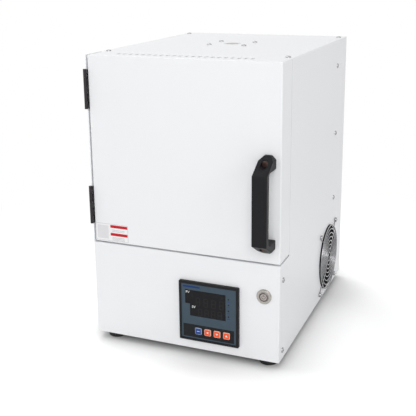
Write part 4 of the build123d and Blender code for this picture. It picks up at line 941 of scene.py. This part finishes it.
def straightWinding(reach):
    # the coil before it is laid along its route: equal turns along X
    shape = heatingCoil
    turns = int(reach / (shape["turnPitch"] * mm))
    turn = bmesh.new()
    ring = bmesh.ops.create_circle(turn, radius=shape["wire"] * mm, segments=shape["sides"])["verts"]
    bmesh.ops.rotate(turn, matrix=Matrix.Rotation(math.radians(90), 3, "X"), verts=ring)
    bmesh.ops.translate(turn, vec=(0, 0, shape["turnRadius"] * mm), verts=ring)
    bmesh.ops.spin(turn, geom=ring + turn.edges[:], cent=(0, 0, 0), axis=(1, 0, 0), angle=math.tau,
                   dvec=(reach / turns / shape["stepsPerTurn"], 0, 0), steps=shape["stepsPerTurn"])
    coil = joinCopies(turn, [Matrix.Translation((index * reach / turns, 0, 0)) for index in range(turns)])
    bmesh.ops.remove_doubles(coil, verts=coil.verts, dist=weld["coarse"])
    data = bpy.data.meshes.new("winding")
    coil.to_mesh(data)
    coil.free()
    return data


def coilRoute(low, high, straight):
    # back and forth along Y, one pass above the other, with round bends
    shape = heatingCoil
    route = bpy.data.curves.new("route", "CURVE")
    route.dimensions = "3D"
    route.resolution_u = shape["bendSteps"]
    line = route.splines.new("BEZIER")
    line.bezier_points.add(2 * shape["passes"] - 1)
    middle = (low + high) / 2
    handle = shape["passPitch"] / 2 * mm * shape["bendHandle"]
    for row in range(shape["passes"]):
        z = middle.z + (row - (shape["passes"] - 1) / 2) * shape["passPitch"] * mm
        heading = 1 if row % 2 == 0 else -1
        for end in (0, 1):
            point = line.bezier_points[2 * row + end]
            point.handle_left_type = point.handle_right_type = "FREE"
            y = middle.y + heading * (end - 0.5) * straight
            point.co = (middle.x, y, z)
            inward = heading * straight / 3 * (-1 if end else 1)
            outward = heading * handle * (1 if end else -1)
            point.handle_left = (middle.x, y + (inward if end else outward), z)
            point.handle_right = (middle.x, y + (outward if end else inward), z)
    return route


def makeHeatingCoil(node):
    shape = heatingCoil
    low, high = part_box(node)
    straight = high.y - low.y - shape["bendRoom"] * mm
    bend = math.pi * shape["passPitch"] / 2 * mm
    data = straightWinding(shape["passes"] * straight + (shape["passes"] - 1) * bend)
    route = coilRoute(low, high, straight)
    winding = bpy.data.objects.new("winding", data)
    path = bpy.data.objects.new("route", route)
    for made in (winding, path):
        bpy.context.scene.collection.objects.link(made)
    follow = winding.modifiers.new("follow", "CURVE")
    follow.object = path
    follow.deform_axis = "POS_X"
    bpy.context.view_layer.update()
    wound = bmesh.new()
    wound.from_mesh(winding.evaluated_get(bpy.context.evaluated_depsgraph_get()).data)
    for made in (winding, path):
        bpy.data.objects.remove(made)
    bpy.data.meshes.remove(data)
    bpy.data.curves.remove(route)
    finishedPiece(node + "_wound", wound, "cabinet", coilWire, (node,), sharp=80)


for node in ("heating_coil_left", "heating_coil_right"):
    makeHeatingCoil(node)
print("heating coils wound")

# ---- marks on the controller, its keys and the door ----

# in millimetres, with places from the middle of the controller or of the key
# capitals is the share of a font's size that its capitals take, and swell thickens their strokes
markings = {
    "thickness": 0.04, "lettersHigh": 3.9, "capitals": 0.7, "swell": 0.04, "curveSteps": 3,
    "letters": {"mark_process": ("PV", (-33.6, 30.6)), "mark_setpoint": ("SV", (-23.9, 7.6))},
}
keySymbols = {
    "key_set": [(-2.2, 0.4), (2.2, 0.4), (2.2, -0.4), (-2.2, -0.4)],
    "key_left": [(-2.1, 0), (1.3, 2.0), (1.3, -2.0)],
    "key_down": [(0, -2.0), (2.1, 1.4), (-2.1, 1.4)],
    "key_up": [(0, 2.0), (-2.1, -1.4), (2.1, -1.4)],
}


def flatPlate(outline, y, thickness):
    # a thin plate facing the front, from its outline in X and Z
    plate = bmesh.new()
    face = plate.faces.new([plate.verts.new((x * mm, y, z * mm)) for x, z in outline])
    pushed = bmesh.ops.extrude_face_region(plate, geom=[face])["geom"]
    front = [item for item in pushed if isinstance(item, bmesh.types.BMVert)]
    bmesh.ops.translate(plate, vec=(0, -thickness * mm, 0), verts=front)
    return plate


def makeLetters(name, text, offset):
    curve = bpy.data.curves.new(name, "FONT")
    curve.body = text
    curve.size = markings["lettersHigh"] * mm / markings["capitals"]
    curve.align_x = curve.align_y = "CENTER"
    curve.extrude = markings["thickness"] * mm / 2
    curve.offset = markings["swell"] * mm
    curve.resolution_u = markings["curveSteps"]
    written = bpy.data.objects.new(name, curve)
    data = bpy.data.meshes.new_from_object(written)
    bpy.data.objects.remove(written)
    bpy.data.curves.remove(curve)
    letters = bmesh.new()
    letters.from_mesh(data)
    bpy.data.meshes.remove(data)
    centreX, centreZ = furnace["bezelCentre"]
    place = Matrix.Translation((centreX + offset[0] * mm, furnace["faceY"], centreZ + offset[1] * mm))
    upright = Matrix.Rotation(math.radians(90), 4, "X")
    bmesh.ops.transform(letters, matrix=place @ upright, verts=letters.verts)
    finishedPiece(name, letters, "cabinet", markWhite, sharp=20)


def makeKeySymbol(node, outline):
    low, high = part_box(node)
    middle = (low + high) / 2 / mm
    plate = flatPlate([(middle.x + x, middle.z + z) for x, z in outline], low.y, markings["thickness"])
    finishedPiece("symbol_" + node, plate, node, markWhite)


for name, (text, offset) in markings["letters"].items():
    makeLetters(name, text, offset)
for node, outline in keySymbols.items():
    makeKeySymbol(node, outline)


def makeDoorLabel(shape):
    outline = []
    for turn, x, z in ((0, shape["right"], shape["high"]), (90, shape["left"], shape["high"]),
                       (180, shape["left"], shape["low"]), (270, shape["right"], shape["low"])):
        middleX = x + shape["corner"] * (-1 if x == shape["right"] else 1)
        middleZ = z + shape["corner"] * (-1 if z == shape["high"] else 1)
        for part in shape["cornerParts"]:
            angle = math.radians(turn + part)
            outline.append((middleX + shape["corner"] * math.cos(angle),
                            middleZ + shape["corner"] * math.sin(angle)))
    plate = flatPlate(outline, furnace["frontY"], shape["thickness"])
    finishedPiece("door_label", plate, "door", labelFilm)


makeDoorLabel(doorLabel)
print("marks made")

# ---- floor, lamps and background ----

# paper is the floor's own grey, and the camera sees paperSeen in the open and nookSeen close to the feet, a
# painted shade that ambient occlusion lays round the furnace
studio = {
    "floorSize": 6.0, "paper": 0.86, "roughness": 0.9, "paperSeen": 1.29, "nookSeen": 0.5, "nookReach": 0.085,
    "nookSamples": 16, "fade": (0.42, 0.8), "worldStrength": 0.5,
}
lamps = {
    "keyLamp": {"place": (0.8, -2.6, 1.7), "aim": (0, 0, 0.25), "size": 1.4, "power": 34.5},
    "topLamp": {"place": (-0.9, 0.8, 2.2), "aim": (0, 0, 0.2), "size": 1.2, "power": 12},
    "sideLamp": {"place": (2.4, -0.9, 1.4), "aim": (0, 0, 0.25), "size": 1.2, "power": 10},
    "fillLamp": {"place": (-2.4, -0.7, 1.4), "aim": (0, 0, 0.25), "size": 1.2, "power": 11},
}


def grey(level):
    return (level, level, level)


def seenDirectly(tree):
    # 1 for rays from the camera, off a mirror and through glass
    rays = addNode(tree, "LightPath", {}, {}).outputs
    camera, mirror, glass = (Wire(rays[f"Is {kind} Ray"]) for kind in ("Camera", "Glossy", "Transmission"))
    return camera.larger(mirror).larger(glass)


def paperFinish(name):
    # seen directly the paper is white, apart from its lit shade and a painted shade from ambient occlusion
    # close to the furnace
    made = Finish(name, colour=grey(studio["paper"]), roughness=studio["roughness"], specular=0.0)
    # painted shade: the ambient occlusion darkens the floor colour that the camera sees near the furnace
    openness = made.node("AmbientOcclusion", {"samples": studio["nookSamples"]},
                         {"Distance": studio["nookReach"]}, "AO")
    tone = made.mix(openness, grey(studio["nookSeen"]), grey(studio["paperSeen"]))
    shaded = made.node("BsdfDiffuse", {}, {"Color": tone})
    plain = made.node("Emission", {}, {"Color": grey(1), "Strength": 1.0})
    far = made.step(distance(made.x, made.y, (0, 0)), *studio["fade"])
    shown = made.node("MixShader", {}, {0: far, 1: shaded, 2: plain})
    lit = Wire(made.shader.outputs[0])
    choice = made.node("MixShader", {}, {0: seenDirectly(made.tree), 1: lit, 2: shown})
    plug(made.tree, made.output.inputs[0], choice)
    return made


def makeFloor(size):
    mesh = bmesh.new()
    bmesh.ops.create_grid(mesh, x_segments=1, y_segments=1, size=size / 2)
    data = bpy.data.meshes.new("studioFloor")
    mesh.to_mesh(data)
    mesh.free()
    floor = bpy.data.objects.new("studioFloor", data)
    floor.data.materials.append(paperFinish("floorPaper").material)
    bpy.context.scene.collection.objects.link(floor)


def makeLamp(name, settings):
    light = bpy.data.lights.new(name, "AREA")
    light.shape = "SQUARE"
    light.size = settings["size"]
    light.energy = settings["power"]
    lamp = bpy.data.objects.new(name, light)
    away = Vector(settings["place"]) - Vector(settings["aim"])
    turn = away.to_track_quat("Z", "Y").to_matrix().to_4x4()
    lamp.matrix_world = Matrix.Translation(settings["place"]) @ turn
    bpy.context.scene.collection.objects.link(lamp)


def makeWorld(strength):
    # white where it's seen, and weaker where it lights the furnace
    world = bpy.data.worlds.new("studioWorld")
    bpy.context.scene.world = world
    world.use_nodes = True
    tree = world.node_tree
    tree.nodes.clear()
    level = seenDirectly(tree) * (1 - strength) + strength
    ground = addNode(tree, "Background", {}, {"Color": grey(1), "Strength": level})
    addNode(tree, "OutputWorld", {}, {0: Wire(ground.outputs[0])})


makeFloor(studio["floorSize"])
for name, settings in lamps.items():
    makeLamp(name, settings)
makeWorld(studio["worldStrength"])
bpy.context.scene.view_settings.view_transform = "Standard"
print("studio made")
